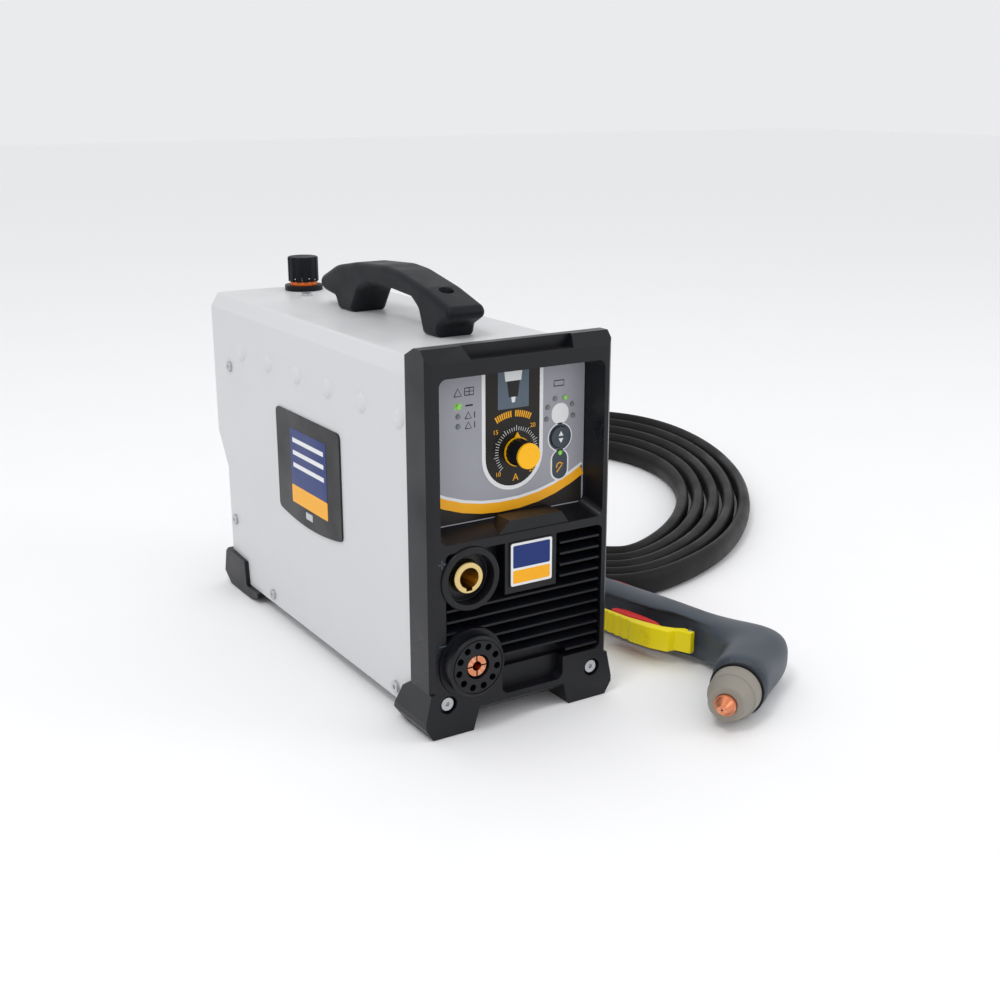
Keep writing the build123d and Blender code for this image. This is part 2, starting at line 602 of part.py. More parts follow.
# ---------------------------------------------------------------- torch socket
TORCH_SOCKET_FACE_Y = -174.0
PIN_COUNT, PIN_RING_R, PIN_HOLE_R = 11, 13.6, 2.2
with BuildPart() as torch_socket_housing:
    with BuildSketch(front_plane(-142)):
        with Locations((SOCKET_X, TORCH_SOCKET_Z)):
            Circle(22.4)
    extrude(amount=24.5)
    with BuildSketch(front_plane(-160)):
        with Locations((SOCKET_X, TORCH_SOCKET_Z)):
            Circle(19.6)
    extrude(amount=14)
    chamfer(torch_socket_housing.edges().sort_by(Axis.Y)[0], 1)
    with BuildSketch(front_plane(TORCH_SOCKET_FACE_Y - 1)):
        with Locations((SOCKET_X, TORCH_SOCKET_Z)):
            Circle(17.6)
            Circle(16.9, mode=Mode.SUBTRACT)
    extrude(amount=-1.8, mode=Mode.SUBTRACT)
    with BuildSketch(front_plane(TORCH_SOCKET_FACE_Y - 1)):
        with Locations((SOCKET_X, TORCH_SOCKET_Z)):
            with PolarLocations(PIN_RING_R, PIN_COUNT, start_angle=90):
                Circle(PIN_HOLE_R)
    extrude(amount=-19, mode=Mode.SUBTRACT)
    with BuildSketch(front_plane(TORCH_SOCKET_FACE_Y - 1)):
        with Locations((SOCKET_X, TORCH_SOCKET_Z)):
            Circle(8.0)
    extrude(amount=-50, mode=Mode.SUBTRACT)
torch_socket_housing.part.label = "torch_socket_housing"
export_step(torch_socket_housing.part, "parts/torch_socket_housing.step")

with BuildPart() as torch_socket_contacts:
    with BuildSketch(front_plane(-134)):
        with Locations((SOCKET_X, TORCH_SOCKET_Z)):
            Circle(7.9)
    extrude(amount=20)
    with BuildSketch(front_plane(-154)):
        with Locations((SOCKET_X, TORCH_SOCKET_Z)):
            Circle(6.6)
    extrude(amount=18.4)
    with BuildSketch(front_plane(-175)):
        with Locations((SOCKET_X, TORCH_SOCKET_Z)):
            Circle(3.1)
    extrude(amount=-24, mode=Mode.SUBTRACT)
    with BuildSketch(front_plane(-175)):
        with Locations((SOCKET_X, TORCH_SOCKET_Z)):
            Rectangle(14, 1.0)
            Rectangle(1.0, 14)
    extrude(amount=-16, mode=Mode.SUBTRACT)
    with BuildSketch(front_plane(-156.1)):
        with Locations((SOCKET_X, TORCH_SOCKET_Z)):
            with PolarLocations(PIN_RING_R, PIN_COUNT, start_angle=90):
                Circle(1.6)
    extrude(amount=12)
    with BuildSketch(front_plane(-171)):
        with Locations((SOCKET_X, TORCH_SOCKET_Z)):
            with PolarLocations(PIN_RING_R, PIN_COUNT, start_angle=90):
                Circle(0.8)
    extrude(amount=-10, mode=Mode.SUBTRACT)
torch_socket_contacts.part.label = "torch_socket_contacts"
export_step(torch_socket_contacts.part, "parts/torch_socket_contacts.step")

# ---------------------------------------------------------------- air regulator
REGULATOR_AT = (REGULATOR_X, REGULATOR_Y)
RING_TOP_Z, KNOB_BOTTOM_Z, KNOB_TOP_Z = 239.7, 240.0, 258.8
with BuildPart() as regulator_body:
    with BuildSketch(Plane.XY.offset(180)):
        with Locations(REGULATOR_AT):
            RectangleRounded(36, 36, 3)
    extrude(amount=42)
    with BuildSketch(Plane.XY.offset(222)):
        with Locations(REGULATOR_AT):
            Circle(12.8)
    extrude(amount=11)
    with BuildSketch(Plane.XY.offset(CASE_TOP_Z)):
        with Locations(REGULATOR_AT):
            Circle(14.6)
    extrude(amount=4)
    with BuildSketch(Plane.XY.offset(205)):
        with Locations(REGULATOR_AT):
            Circle(4.06)
    extrude(amount=40, mode=Mode.SUBTRACT)
    with BuildSketch(front_plane(REGULATOR_Y + 18)):
        with Locations((REGULATOR_X, REAR_FITTING_Z)):
            Circle(5)
    extrude(amount=12, mode=Mode.SUBTRACT)
regulator_body.part.label = "regulator_body"
export_step(regulator_body.part, "parts/regulator_body.step")

with BuildPart() as regulator_lock_ring:
    with BuildSketch(Plane.XY.offset(CASE_TOP_Z + 4)):
        with Locations(REGULATOR_AT):
            Circle(10.6)
            Circle(4.4, mode=Mode.SUBTRACT)
    extrude(amount=RING_TOP_Z - CASE_TOP_Z - 4)
regulator_lock_ring.part.label = "regulator_lock_ring"
export_step(regulator_lock_ring.part, "parts/regulator_lock_ring.step")

with BuildPart() as regulator_knob:
    with BuildSketch(Plane.XY.offset(KNOB_BOTTOM_Z)):
        with Locations(REGULATOR_AT):
            Circle(11.7)
    extrude(amount=KNOB_TOP_Z - KNOB_BOTTOM_Z)
    fillet(regulator_knob.edges().sort_by(Axis.Z)[-1], 1.2)
    with BuildSketch(Plane.XY.offset(KNOB_BOTTOM_Z)):
        with Locations(REGULATOR_AT):
            with PolarLocations(12.4, 12):
                Circle(1.6)
    extrude(amount=20, mode=Mode.SUBTRACT)
    with BuildSketch(Plane.XY.offset(KNOB_BOTTOM_Z)):
        with Locations(REGULATOR_AT):
            Circle(10.9)
    extrude(amount=3.4, mode=Mode.SUBTRACT)
    with BuildSketch(Plane.XY.offset(KNOB_BOTTOM_Z)):
        with Locations(REGULATOR_AT):
            Circle(4.02)
    extrude(amount=14.1, mode=Mode.SUBTRACT)
regulator_knob.part.label = "regulator_knob"
export_step(regulator_knob.part, "parts/regulator_knob.step")

with BuildPart() as regulator_spindle:
    with BuildSketch(Plane.XY.offset(210)):
        with Locations(REGULATOR_AT):
            Circle(4)
    extrude(amount=44)
regulator_spindle.part.label = "regulator_spindle"
export_step(regulator_spindle.part, "parts/regulator_spindle.step")

# ---------------------------------------------------------------- rear connections
with BuildPart() as air_inlet_fitting:
    with BuildSketch(front_plane(REAR_Y + 8)):
        with Locations((REGULATOR_X, REAR_FITTING_Z)):
            RegularPolygon(9.2, 6)
    extrude(amount=8)
    with BuildSketch(front_plane(REAR_Y + 24)):
        with Locations((REGULATOR_X, REAR_FITTING_Z)):
            Circle(5.2)
    extrude(amount=16)
    with BuildSketch(front_plane(REAR_Y)):
        with Locations((REGULATOR_X, REAR_FITTING_Z)):
            Circle(6.5)
    extrude(amount=4)
    with BuildSketch(front_plane(REAR_Y + 25)):
        with Locations((REGULATOR_X, REAR_FITTING_Z)):
            Circle(3.5)
    extrude(amount=30, mode=Mode.SUBTRACT)
air_inlet_fitting.part.label = "air_inlet_fitting"
export_step(air_inlet_fitting.part, "parts/air_inlet_fitting.step")

GLAND_BORE_R = 5.5
with BuildPart() as cable_gland:
    with BuildSketch(front_plane(REAR_Y + 7)):
        with Locations((40, REAR_FITTING_Z)):
            RegularPolygon(13.2, 6)
    extrude(amount=7)
    with BuildSketch(front_plane(REAR_Y + 20)):
        with Locations((40, REAR_FITTING_Z)):
            Circle(8)
    with BuildSketch(front_plane(REAR_Y + 7)):
        with Locations((40, REAR_FITTING_Z)):
            Circle(11)
    loft()
    with BuildSketch(front_plane(REAR_Y)):
        with Locations((40, REAR_FITTING_Z)):
            Circle(10)
    extrude(amount=14)
    with BuildSketch(front_plane(REAR_Y + 25)):
        with Locations((40, REAR_FITTING_Z)):
            Circle(GLAND_BORE_R)
    extrude(amount=50, mode=Mode.SUBTRACT)
cable_gland.part.label = "cable_gland"
export_step(cable_gland.part, "parts/cable_gland.step")

SWITCH_X = -36.0
with BuildPart() as mains_switch_body:
    with BuildSketch(front_plane(REAR_Y + 2)):
        with Locations((SWITCH_X, REAR_FITTING_Z)):
            RectangleRounded(26, 34, 2)
    extrude(amount=1.9)
    with BuildSketch(front_plane(REAR_Y + 0.1)):
        with Locations((SWITCH_X, REAR_FITTING_Z)):
            Rectangle(22, 30)
    extrude(amount=24)
    with BuildSketch(front_plane(REAR_Y + 3)):
        with Locations((SWITCH_X, REAR_FITTING_Z)):
            Rectangle(18.6, 26.6)
    extrude(amount=14, mode=Mode.SUBTRACT)
mains_switch_body.part.label = "mains_switch_body"
export_step(mains_switch_body.part, "parts/mains_switch_body.step")

with BuildPart() as mains_switch_rocker:
    with BuildSketch(Plane.YZ.offset(SWITCH_X - 9)):
        with BuildLine():
            Polyline((REAR_Y - 6, REAR_FITTING_Z - 5), (REAR_Y + 0.5, REAR_FITTING_Z - 10.4),
                     (REAR_Y + 5, REAR_FITTING_Z - 10.2), (REAR_Y + 2.2, REAR_FITTING_Z),
                     (REAR_Y + 1.2, REAR_FITTING_Z + 11), (REAR_Y - 3, REAR_FITTING_Z + 9.6),
                     (REAR_Y - 6, REAR_FITTING_Z + 5), close=True)
        make_face()
    extrude(amount=18)
mains_switch_rocker.part.label = "mains_switch_rocker"
export_step(mains_switch_rocker.part, "parts/mains_switch_rocker.step")

# ---------------------------------------------------------------- fan
FAN_FRONT_Y, FAN_REAR_Y = REAR_LOW_Y - SHEET - 25.1, REAR_LOW_Y - SHEET - 0.1
with BuildPart() as fan_frame:
    with BuildSketch(front_plane(FAN_REAR_Y)):
        with Locations((0, FAN_Z)):
            RectangleRounded(2 * FAN_HALF, 2 * FAN_HALF, 4)
            Circle(37.5, mode=Mode.SUBTRACT)
            with GridLocations(71.5, 71.5, 2, 2):
                Circle(2.2, mode=Mode.SUBTRACT)
    extrude(amount=25)
    with BuildSketch(front_plane(FAN_FRONT_Y + 3)):
        with Locations((0, FAN_Z)):
            Circle(16)
            for angle in (0, 120, 240):
                with Locations((27 * cos(radians(angle + 30)), 27 * sin(radians(angle + 30)))):
                    Rectangle(24, 3, rotation=angle + 30)
    extrude(amount=3)
fan_frame.part.label = "fan_frame"
export_step(fan_frame.part, "parts/fan_frame.step")

FAN_BLADES = 7
with BuildPart() as fan_rotor:
    with BuildSketch(front_plane(FAN_REAR_Y - 2)):
        with Locations((0, FAN_Z)):
            Circle(16)
    extrude(amount=19)
    for i in range(FAN_BLADES):
        turn = 360 / FAN_BLADES * i
        blade_axis = Vector(cos(radians(turn)), 0, sin(radians(turn)))
        root = Vector(0, FAN_REAR_Y - 11, FAN_Z) + blade_axis * 15
        blade_plane = Plane(origin=root, x_dir=Vector(0, 1, 0).rotate(Axis(Vector(), blade_axis), 48), z_dir=blade_axis)
        with BuildSketch(blade_plane):
            Rectangle(20, 1.6)
        extrude(amount=21)
fan_rotor.part.label = "fan_rotor"
export_step(fan_rotor.part, "parts/fan_rotor.step")

with BuildPart() as fan_guard:
    with BuildSketch(front_plane(REAR_LOW_Y + 3.2)):
        with Locations((0, FAN_Z)):
            for ring_r in (11, 19, 27, 35):
                Circle(ring_r)
                Circle(ring_r - 1.8, mode=Mode.SUBTRACT)
    extrude(amount=1.6)
    with BuildSketch(front_plane(REAR_LOW_Y + 1.7)):
        with Locations((0, FAN_Z)):
            for angle in (45, 135):
                Rectangle(101, 1.8, rotation=angle)
            with GridLocations(71.5, 71.5, 2, 2):
                Circle(4)
    extrude(amount=1.6)
    with BuildSketch(front_plane(REAR_LOW_Y + 3)):
        with Locations((0, FAN_Z)):
            with GridLocations(71.5, 71.5, 2, 2):
                Circle(1.9)
    extrude(amount=12)
fan_guard.part.label = "fan_guard"
export_step(fan_guard.part, "parts/fan_guard.step")

# ---------------------------------------------------------------- inside the casing
BOARD_X = -46.0
with BuildPart() as power_board:
    with Locations((BOARD_X, -10, 120)):
        Box(1.6, 205, 180)
power_board.part.label = "power_board"
export_step(power_board.part, "parts/power_board.step")

with BuildPart() as heatsinks:
    for z in (80, 165):
        with BuildSketch(front_plane(70)):
            with Locations((BOARD_X + 10, z)):
                Rectangle(5, 60)
            with Locations((BOARD_X + 23.5, z)):
                with GridLocations(0, 7.2, 1, 9):
                    Rectangle(22.2, 2)
        extrude(amount=150)
heatsinks.part.label = "heatsinks"
export_step(heatsinks.part, "parts/heatsinks.step")

with BuildPart() as power_transistors:
    for z in (80, 165):
        with Locations((BOARD_X + 4.1, -5, z)):
            with GridLocations(0, 34, 1, 4):
                Box(6.4, 16, 21)
power_transistors.part.label = "power_transistors"
export_step(power_transistors.part, "parts/power_transistors.step")

with BuildPart() as capacitors:
    for y in (88, 50, 12):
        with BuildSketch(Plane.XY.offset(CASE_BOTTOM_Z + SHEET)):
            with Locations((30, y)):
                Circle(15)
        extrude(amount=50)
capacitors.part.label = "capacitors"
export_step(capacitors.part, "parts/capacitors.step")

TRANSFORMER = (22, -45)
with BuildPart() as transformer_core:
    with BuildSketch(front_plane(-25)):
        with Locations((TRANSFORMER[0], 45)):
            Rectangle(62, 60)
            with Locations((-16.5, 0), (16.5, 0)):
                Rectangle(17, 36, mode=Mode.SUBTRACT)
    extrude(amount=40)
transformer_core.part.label = "transformer_core"
export_step(transformer_core.part, "parts/transformer_core.step")

with BuildPart() as transformer_winding:
    with BuildSketch(Plane.XY.offset(28)):
        with Locations(TRANSFORMER):
            RectangleRounded(48, 70, 8)
            Rectangle(16.4, 40.6, mode=Mode.SUBTRACT)
    extrude(amount=34)
transformer_winding.part.label = "transformer_winding"
export_step(transformer_winding.part, "parts/transformer_winding.step")

with BuildPart() as output_inductor:
    with BuildSketch(Plane.XZ):
        with Locations((38, 0)):
            RectangleRounded(16, 26, 3)
    revolve(axis=Axis.Z)
inductor = Pos(18, 62, 95) * Rotation(0, 90, 0) * scale(output_inductor.part, by=0.62)
output_inductor.part.label = "output_inductor"
with BuildPart() as output_choke:
    add(inductor)
output_choke.part.label = "output_choke"
export_step(output_choke.part, "parts/output_choke.step")

VALVE = (34.0, -95.0, 105.0)
with BuildPart() as solenoid_valve:
    with Locations(VALVE):
        Box(26, 32, 24)
    with BuildSketch(Plane.XY.offset(VALVE[2] + 12)):
        with Locations((VALVE[0], VALVE[1])):
            RectangleRounded(22, 22, 3)
    extrude(amount=26)
solenoid_valve.part.label = "solenoid_valve"
export_step(solenoid_valve.part, "parts/solenoid_valve.step")

AIR_LINE_R = 3.5
SUPPLY_ROUTE = [(REGULATOR_X + 18, REGULATOR_Y, 200), (45, REGULATOR_Y, 200), (45, 100, 192),
                (45, 40, 185), (45, -30, 160), (VALVE[0], -60, VALVE[2]), (VALVE[0], VALVE[1] + 16.2, VALVE[2])]
OUTLET_ROUTE = [(VALVE[0] - 13.2, VALVE[1], VALVE[2] - 4), (2, VALVE[1], VALVE[2] - 4), (-20, -106, 80),
                (SOCKET_X, -114, TORCH_SOCKET_Z), (SOCKET_X, -134, TORCH_SOCKET_Z)]


def route_radii(points, share=0.45):
    """Largest even arcs: each takes a share of the shorter run beside its corner."""
    radii = []
    for before, corner, after in zip(points, points[1:], points[2:]):
        run_in = Vector(*corner) - Vector(*before)
        run_out = Vector(*after) - Vector(*corner)
        turn = radians(run_in.get_angle(run_out))
        radii.append(share * min(run_in.length, run_out.length) / tan(turn / 2))
    return radii


def route_path(points):
    return FilletPolyline(*points, radius=route_radii(points))


with BuildPart() as air_line:
    for route in (SUPPLY_ROUTE, OUTLET_ROUTE):
        with BuildLine():
            path = route_path(route)
        with BuildSketch(Plane(origin=path @ 0, z_dir=path % 0)):
            Circle(AIR_LINE_R)
        sweep(path=path)
air_line.part.label = "air_line"
export_step(air_line.part, "parts/air_line.step")

# ---------------------------------------------------------------- torch handle
# stations along the handle: x, y, half width in plan, half thickness
TORCH_STATIONS = [(121, -4, 11.5, 11.5), (124.5, -20, 15.5, 16), (133, -60, 16.5, 17), (140, -92, 17, 17),
                  (148, -125, 16.5, 16.5), (156, -160, 14, 15), (160, -188, 14.5, 16.5),
                  (163, -206, 14, 16.5)]
WALL = 2.4


def station_plane(index):
    before = TORCH_STATIONS[max(index - 1, 0)]
    after = TORCH_STATIONS[min(index + 1, len(TORCH_STATIONS) - 1)]
    x, y = TORCH_STATIONS[index][:2]
    along = Vector(after[0] - before[0], after[1] - before[1], 0)
    return Plane(origin=(x, y, TORCH_Z), x_dir=(along.Y, -along.X, 0), z_dir=along)


def handle_solid(shrink, first=0):
    """Tapered tube of rounded sections from the rear end to the neck."""
    with BuildPart() as tube:
        for i, (_, _, half_w, half_t) in enumerate(TORCH_STATIONS):
            if i < first:
                continue
            with BuildSketch(station_plane(i)):
                Ellipse(half_w - shrink, half_t - shrink)
        loft(ruled=True)
    return tube.part


HEAD = Plane(origin=(HEAD_PIVOT[0], HEAD_PIVOT[1], TORCH_Z), x_dir=(0, 0, 1), z_dir=(*HEAD_DIR, 0))
HEAD_R = 18.4
HEAD_BACK, HEAD_END = -17.0, 50.0

GRIP = Plane(origin=(148, -125, TORCH_Z), x_dir=(0.22, -0.9755, 0), z_dir=(0, 0, 1))
TRIGGER_HALF_T = 8.0
TRIGGER_PIVOT = (33.0, -14.0)


def head_shell():
    with BuildPart() as shell:
        with BuildSketch(HEAD.offset(HEAD_BACK)):
            Circle(HEAD_R - 5)
        with BuildSketch(HEAD.offset(HEAD_BACK + 5)):
            Circle(HEAD_R)
        loft()
        with BuildSketch(HEAD.offset(HEAD_BACK + 5)):
            Circle(HEAD_R)
        extrude(amount=HEAD_END - HEAD_BACK - 5)
    return shell.part


def torch_half(keep):
    with BuildPart() as half:
        add(handle_solid(0))
        add(head_shell())
        add(handle_solid(WALL, first=1), mode=Mode.SUBTRACT)
        with BuildSketch(HEAD.offset(HEAD_BACK + 6)):
            Circle(HEAD_R - WALL - 1)
        extrude(amount=HEAD_END, mode=Mode.SUBTRACT)
        with BuildSketch(HEAD.offset(HEAD_BACK + 12)):
            Circle(9.0)
        extrude(amount=HEAD_END - HEAD_BACK, mode=Mode.SUBTRACT)
        # slot for the trigger on the near side, and the lead entry
        with BuildSketch(GRIP.offset(-TRIGGER_HALF_T - 0.8)):
            with Locations((-1, -21.5)):
                Rectangle(82, 35)
        extrude(amount=2 * TRIGGER_HALF_T + 1.6, mode=Mode.SUBTRACT)
        with BuildSketch(station_plane(0).offset(-1)):
            Circle(7.4)
        extrude(amount=20, mode=Mode.SUBTRACT)
        split(bisect_by=Plane.XY.offset(TORCH_Z), keep=keep)
    return half.part


with BuildPart() as torch_handle_upper:
    add(torch_half(Keep.TOP))
torch_handle_upper.part.label = "torch_handle_upper"
export_step(torch_handle_upper.part, "parts/torch_handle_upper.step")

with BuildPart() as torch_handle_lower:
    add(torch_half(Keep.BOTTOM))
torch_handle_lower.part.label = "torch_handle_lower"
export_step(torch_handle_lower.part, "parts/torch_handle_lower.step")

# soft red insert along the back of the grip
with BuildPart() as torch_grip_insert:
    with BuildSketch(GRIP.offset(-5)):
        with BuildLine():
            Polyline((-62, 17.6), (0, 18.4), (22, 17.2), (22, 16.4), (0, 17.2), (-62, 17.2), close=True)
        make_face()
    extrude(amount=10)
torch_grip_insert.part.label = "torch_grip_insert"
export_step(torch_grip_insert.part, "parts/torch_grip_insert.step")

with BuildPart() as torch_trigger:
    with BuildSketch(GRIP.offset(-TRIGGER_HALF_T)):
        with BuildLine():
            Polyline((37, -10), (37, -24), (26, -29), (6, -31), (-14, -30), (-38, -27), (-39, -23),
                     (-14, -24.5), (16, -21), (24, -17), (28, -10), close=True)
        make_face()
        with Locations(TRIGGER_PIVOT):
            Circle(2.05, mode=Mode.SUBTRACT)
    extrude(amount=2 * TRIGGER_HALF_T)
torch_trigger.part.label = "torch_trigger"
export_step(torch_trigger.part, "parts/torch_trigger.step")

with BuildPart() as trigger_pin:
    with BuildSketch(GRIP.offset(-TRIGGER_HALF_T - 0.6)):
        with Locations(TRIGGER_PIVOT):
            Circle(2.0)
    extrude(amount=2 * TRIGGER_HALF_T + 1.2)
trigger_pin.part.label = "trigger_pin"
export_step(trigger_pin.part, "parts/trigger_pin.step")

SAFETY_HALF_T = 6.0
with BuildPart() as torch_safety:
    with BuildSketch(GRIP.offset(-SAFETY_HALF_T)):
        with BuildLine():
            Polyline((13, -20.9), (6, -18.6), (-22, -17.6), (-32, -20), (-32, -23), (-14, -23.9), close=True)
        make_face()
    extrude(amount=2 * SAFETY_HALF_T)
torch_safety.part.label = "torch_safety"
export_step(torch_safety.part, "parts/torch_safety.step")

with BuildPart() as trigger_switch:
    with Locations(GRIP.location):
        with Locations((2, 3, 0)):
            Box(20, 7, 10)
trigger_switch.part.label = "trigger_switch"
export_step(trigger_switch.part, "parts/trigger_switch.step")

# ---------------------------------------------------------------- torch head
with BuildPart() as torch_head_core:
    with BuildSketch(HEAD.offset(HEAD_BACK + 12)):
        Circle(9)
    extrude(amount=HEAD_END - HEAD_BACK - 12.2)
torch_head_core.part.label = "torch_head_core"
export_step(torch_head_core.part, "parts/torch_head_core.step")

with BuildPart() as torch_collar:
    with BuildSketch(HEAD.offset(HEAD_END)):
        Circle(18.0)
    extrude(amount=3.6)
    fillet(torch_collar.edges(), 1)
torch_collar.part.label = "torch_collar"
export_step(torch_collar.part, "parts/torch_collar.step")

with BuildPart() as torch_shield:
    with BuildSketch(HEAD.offset(HEAD_END + 3.6)):
        Circle(16.6)
    with BuildSketch(HEAD.offset(HEAD_END + 15.6)):
        Circle(15.8)
    loft()
    with BuildSketch(HEAD.offset(HEAD_END + 15.6)):
        Circle(15.0)
    with BuildSketch(HEAD.offset(HEAD_END + 27)):
        Circle(11.8)
    loft()
    with BuildSketch(HEAD.offset(HEAD_END + 30)):
        Circle(7.0)
    extrude(amount=-26.4, mode=Mode.SUBTRACT)
torch_shield.part.label = "torch_shield"
export_step(torch_shield.part, "parts/torch_shield.step")

with BuildPart() as torch_nozzle:
    with BuildSketch(HEAD.offset(HEAD_END + 8)):
        Circle(6.9)
    extrude(amount=21)
    with BuildSketch(HEAD.offset(HEAD_END + 29)):
        Circle(6.4)
    with BuildSketch(HEAD.offset(HEAD_END + 36)):
        Circle(3.0)
    loft()
    with BuildSketch(HEAD.offset(HEAD_END + 37)):
        Circle(0.7)
    extrude(amount=-12, mode=Mode.SUBTRACT)
torch_nozzle.part.label = "torch_nozzle"
export_step(torch_nozzle.part, "parts/torch_nozzle.step")

# ---------------------------------------------------------------- torch lead
REAR_DIR = Vector(-0.2137, 0.9769, -0.12).normalized()
REAR_END = Vector(121, -4, TORCH_Z)
RELIEF_LENGTH = 30.0
RELIEF_END = REAR_END + REAR_DIR * RELIEF_LENGTH
with BuildPart() as torch_strain_relief:
    with BuildSketch(station_plane(0).offset(-0.05)):
        Circle(10.5)
    with BuildSketch(Plane(origin=RELIEF_END, x_dir=(REAR_DIR.Y, -REAR_DIR.X, 0), z_dir=REAR_DIR)):
        Ellipse(7.8, 11.4)
    loft()
torch_strain_relief.part.label = "torch_strain_relief"
export_step(torch_strain_relief.part, "parts/torch_strain_relief.step")

# centre lines of the coil's outermost and innermost turns, 12 points each, clockwise from the torch
COIL_OUT = [(156, -31), (121, 58), (116, 162), (190, 295), (297, 400), (407, 450),
            (491, 435), (527, 357), (506, 238), (436, 107), (330, 3), (217, -43)]
COIL_IN = [(192, 10), (172, 66), (167, 142), (213, 238), (262, 312), (334, 345),
           (396, 340), (428, 288), (421, 206), (371, 121), (301, 53), (230, 15)]
COIL_MARGIN = LEAD_HALF_THICK + 1
COIL_HEIGHT = 20.4


def coil_outline(loop, other):
    """Points of an outline one margin beyond a turn, on the side away from the other turn."""
    points = []
    for p, q in zip(loop, other):
        away = (Vector(*p) - Vector(*q)).normalized()
        points.append(Vector(*p) + away * COIL_MARGIN)
    return points


with BuildPart() as lead_coil:
    with BuildSketch():
        with BuildLine():
            Polyline(*coil_outline(COIL_OUT, COIL_IN), close=True)
        make_face()
    extrude(amount=COIL_HEIGHT)
    with BuildSketch():
        with BuildLine():
            Polyline(*coil_outline(COIL_IN, COIL_OUT), close=True)
        make_face()
    extrude(amount=COIL_HEIGHT, mode=Mode.SUBTRACT)
lead_coil.part.label = "lead_coil"
export_step(lead_coil.part, "parts/lead_coil.step")


def build_tube(route):
    with BuildPart() as tube:
        with BuildLine():
            path = route_path(route)
        start = path % 0
        with BuildSketch(Plane(origin=path @ 0, x_dir=(start.Y, -start.X, 0), z_dir=start)):
            Ellipse(LEAD_HALF_THICK, LEAD_HALF_TALL)
        sweep(path=path)
    expected = pi * LEAD_HALF_THICK * LEAD_HALF_TALL * path.length
    print("route radii", [round(r) for r in route_radii(route)], "length", round(path.length),
          "volume ratio", round(tube.part.volume / expected, 4))
    return tube.part


FREE_ROUTE = [tuple(RELIEF_END), tuple(RELIEF_END + REAR_DIR * 39.4), (97, 108, LEAD_Z),
              (112.5, 162, LEAD_Z)]
with BuildPart() as torch_lead:
    add(build_tube(FREE_ROUTE))
torch_lead.part.label = "torch_lead"
export_step(torch_lead.part, "parts/torch_lead.step")

PLUG_START = (227, 184.2, 24.2)
PLUG_DIR = (0.5, 0.866, 0)
TAIL_ROUTE = [(173, 62, LEAD_Z), (183, 108, LEAD_Z), (207, 149.6, 24.2), PLUG_START]
with BuildPart() as lead_tail:
    add(build_tube(TAIL_ROUTE))
lead_tail.part.label = "lead_tail"
export_step(lead_tail.part, "parts/lead_tail.step")

# ---------------------------------------------------------------- connector on the lead
PLUG = Plane(origin=PLUG_START, x_dir=(0.866, -0.5, 0), z_dir=PLUG_DIR)
PLUG_R = 19.4
PLUG_FACE = 50.0
with BuildPart() as plug_body:
    with BuildSketch(PLUG.offset(0.05)):
        Circle(11)
    with BuildSketch(PLUG.offset(26)):
        Circle(PLUG_R)
    loft()
    with BuildSketch(PLUG.offset(26)):
        Circle(PLUG_R)
    extrude(amount=PLUG_FACE - 26)
plug_body.part.label = "plug_body"
export_step(plug_body.part, "parts/plug_body.step")

with BuildPart() as plug_pins:
    with BuildSketch(PLUG.offset(PLUG_FACE)):
        with PolarLocations(PIN_RING_R, PIN_COUNT):
            Circle(1.1)
        Circle(3)
    extrude(amount=9)
plug_pins.part.label = "plug_pins"
export_step(plug_pins.part, "parts/plug_pins.step")

with BuildPart() as plug_ring:
    with BuildSketch(PLUG.offset(32)):
        Circle(24)
        Circle(19.9, mode=Mode.SUBTRACT)
    extrude(amount=30)
    with BuildSketch(PLUG.offset(31)):
        with PolarLocations(24.8, 16):
            Circle(1.8)
    extrude(amount=40, mode=Mode.SUBTRACT)
plug_ring.part.label = "plug_ring"
export_step(plug_ring.part, "parts/plug_ring.step")
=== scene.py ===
import math
import bmesh
import bpy
from mathutils import Matrix, Vector


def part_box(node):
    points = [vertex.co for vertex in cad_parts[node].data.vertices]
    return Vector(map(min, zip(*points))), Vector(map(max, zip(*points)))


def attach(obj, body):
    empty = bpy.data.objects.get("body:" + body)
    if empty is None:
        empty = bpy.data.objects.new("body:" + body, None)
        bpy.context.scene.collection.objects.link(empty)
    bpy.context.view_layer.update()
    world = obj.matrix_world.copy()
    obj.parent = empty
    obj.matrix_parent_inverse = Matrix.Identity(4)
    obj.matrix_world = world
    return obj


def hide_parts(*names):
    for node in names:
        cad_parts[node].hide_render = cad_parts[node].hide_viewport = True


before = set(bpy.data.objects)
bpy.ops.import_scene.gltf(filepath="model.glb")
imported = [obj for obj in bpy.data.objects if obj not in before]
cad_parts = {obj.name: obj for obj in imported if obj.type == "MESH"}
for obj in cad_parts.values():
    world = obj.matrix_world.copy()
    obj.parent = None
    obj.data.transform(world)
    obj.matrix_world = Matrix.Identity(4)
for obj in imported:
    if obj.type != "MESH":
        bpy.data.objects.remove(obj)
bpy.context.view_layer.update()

MM = 0.001


# ---------------------------------------------------------------- camera
# lens, place and direction come from a fit to the photo in which the case's sizes were held fixed
camera_data = bpy.data.cameras.new("camera")
camera_data.lens, camera_data.sensor_width = 48.95, 36.0
camera_data.clip_start = 0.01
camera_data.dof.use_dof = False
camera = bpy.data.objects.new("camera", camera_data)
camera.location = (-0.43336, -0.82722, 0.38556)
camera.rotation_euler = Vector((0.5094, 0.8097, -0.2914)).to_track_quat("-Z", "Y").to_euler()
bpy.context.scene.collection.objects.link(camera)
bpy.context.scene.camera = camera
bpy.context.scene.view_settings.view_transform = "Standard"


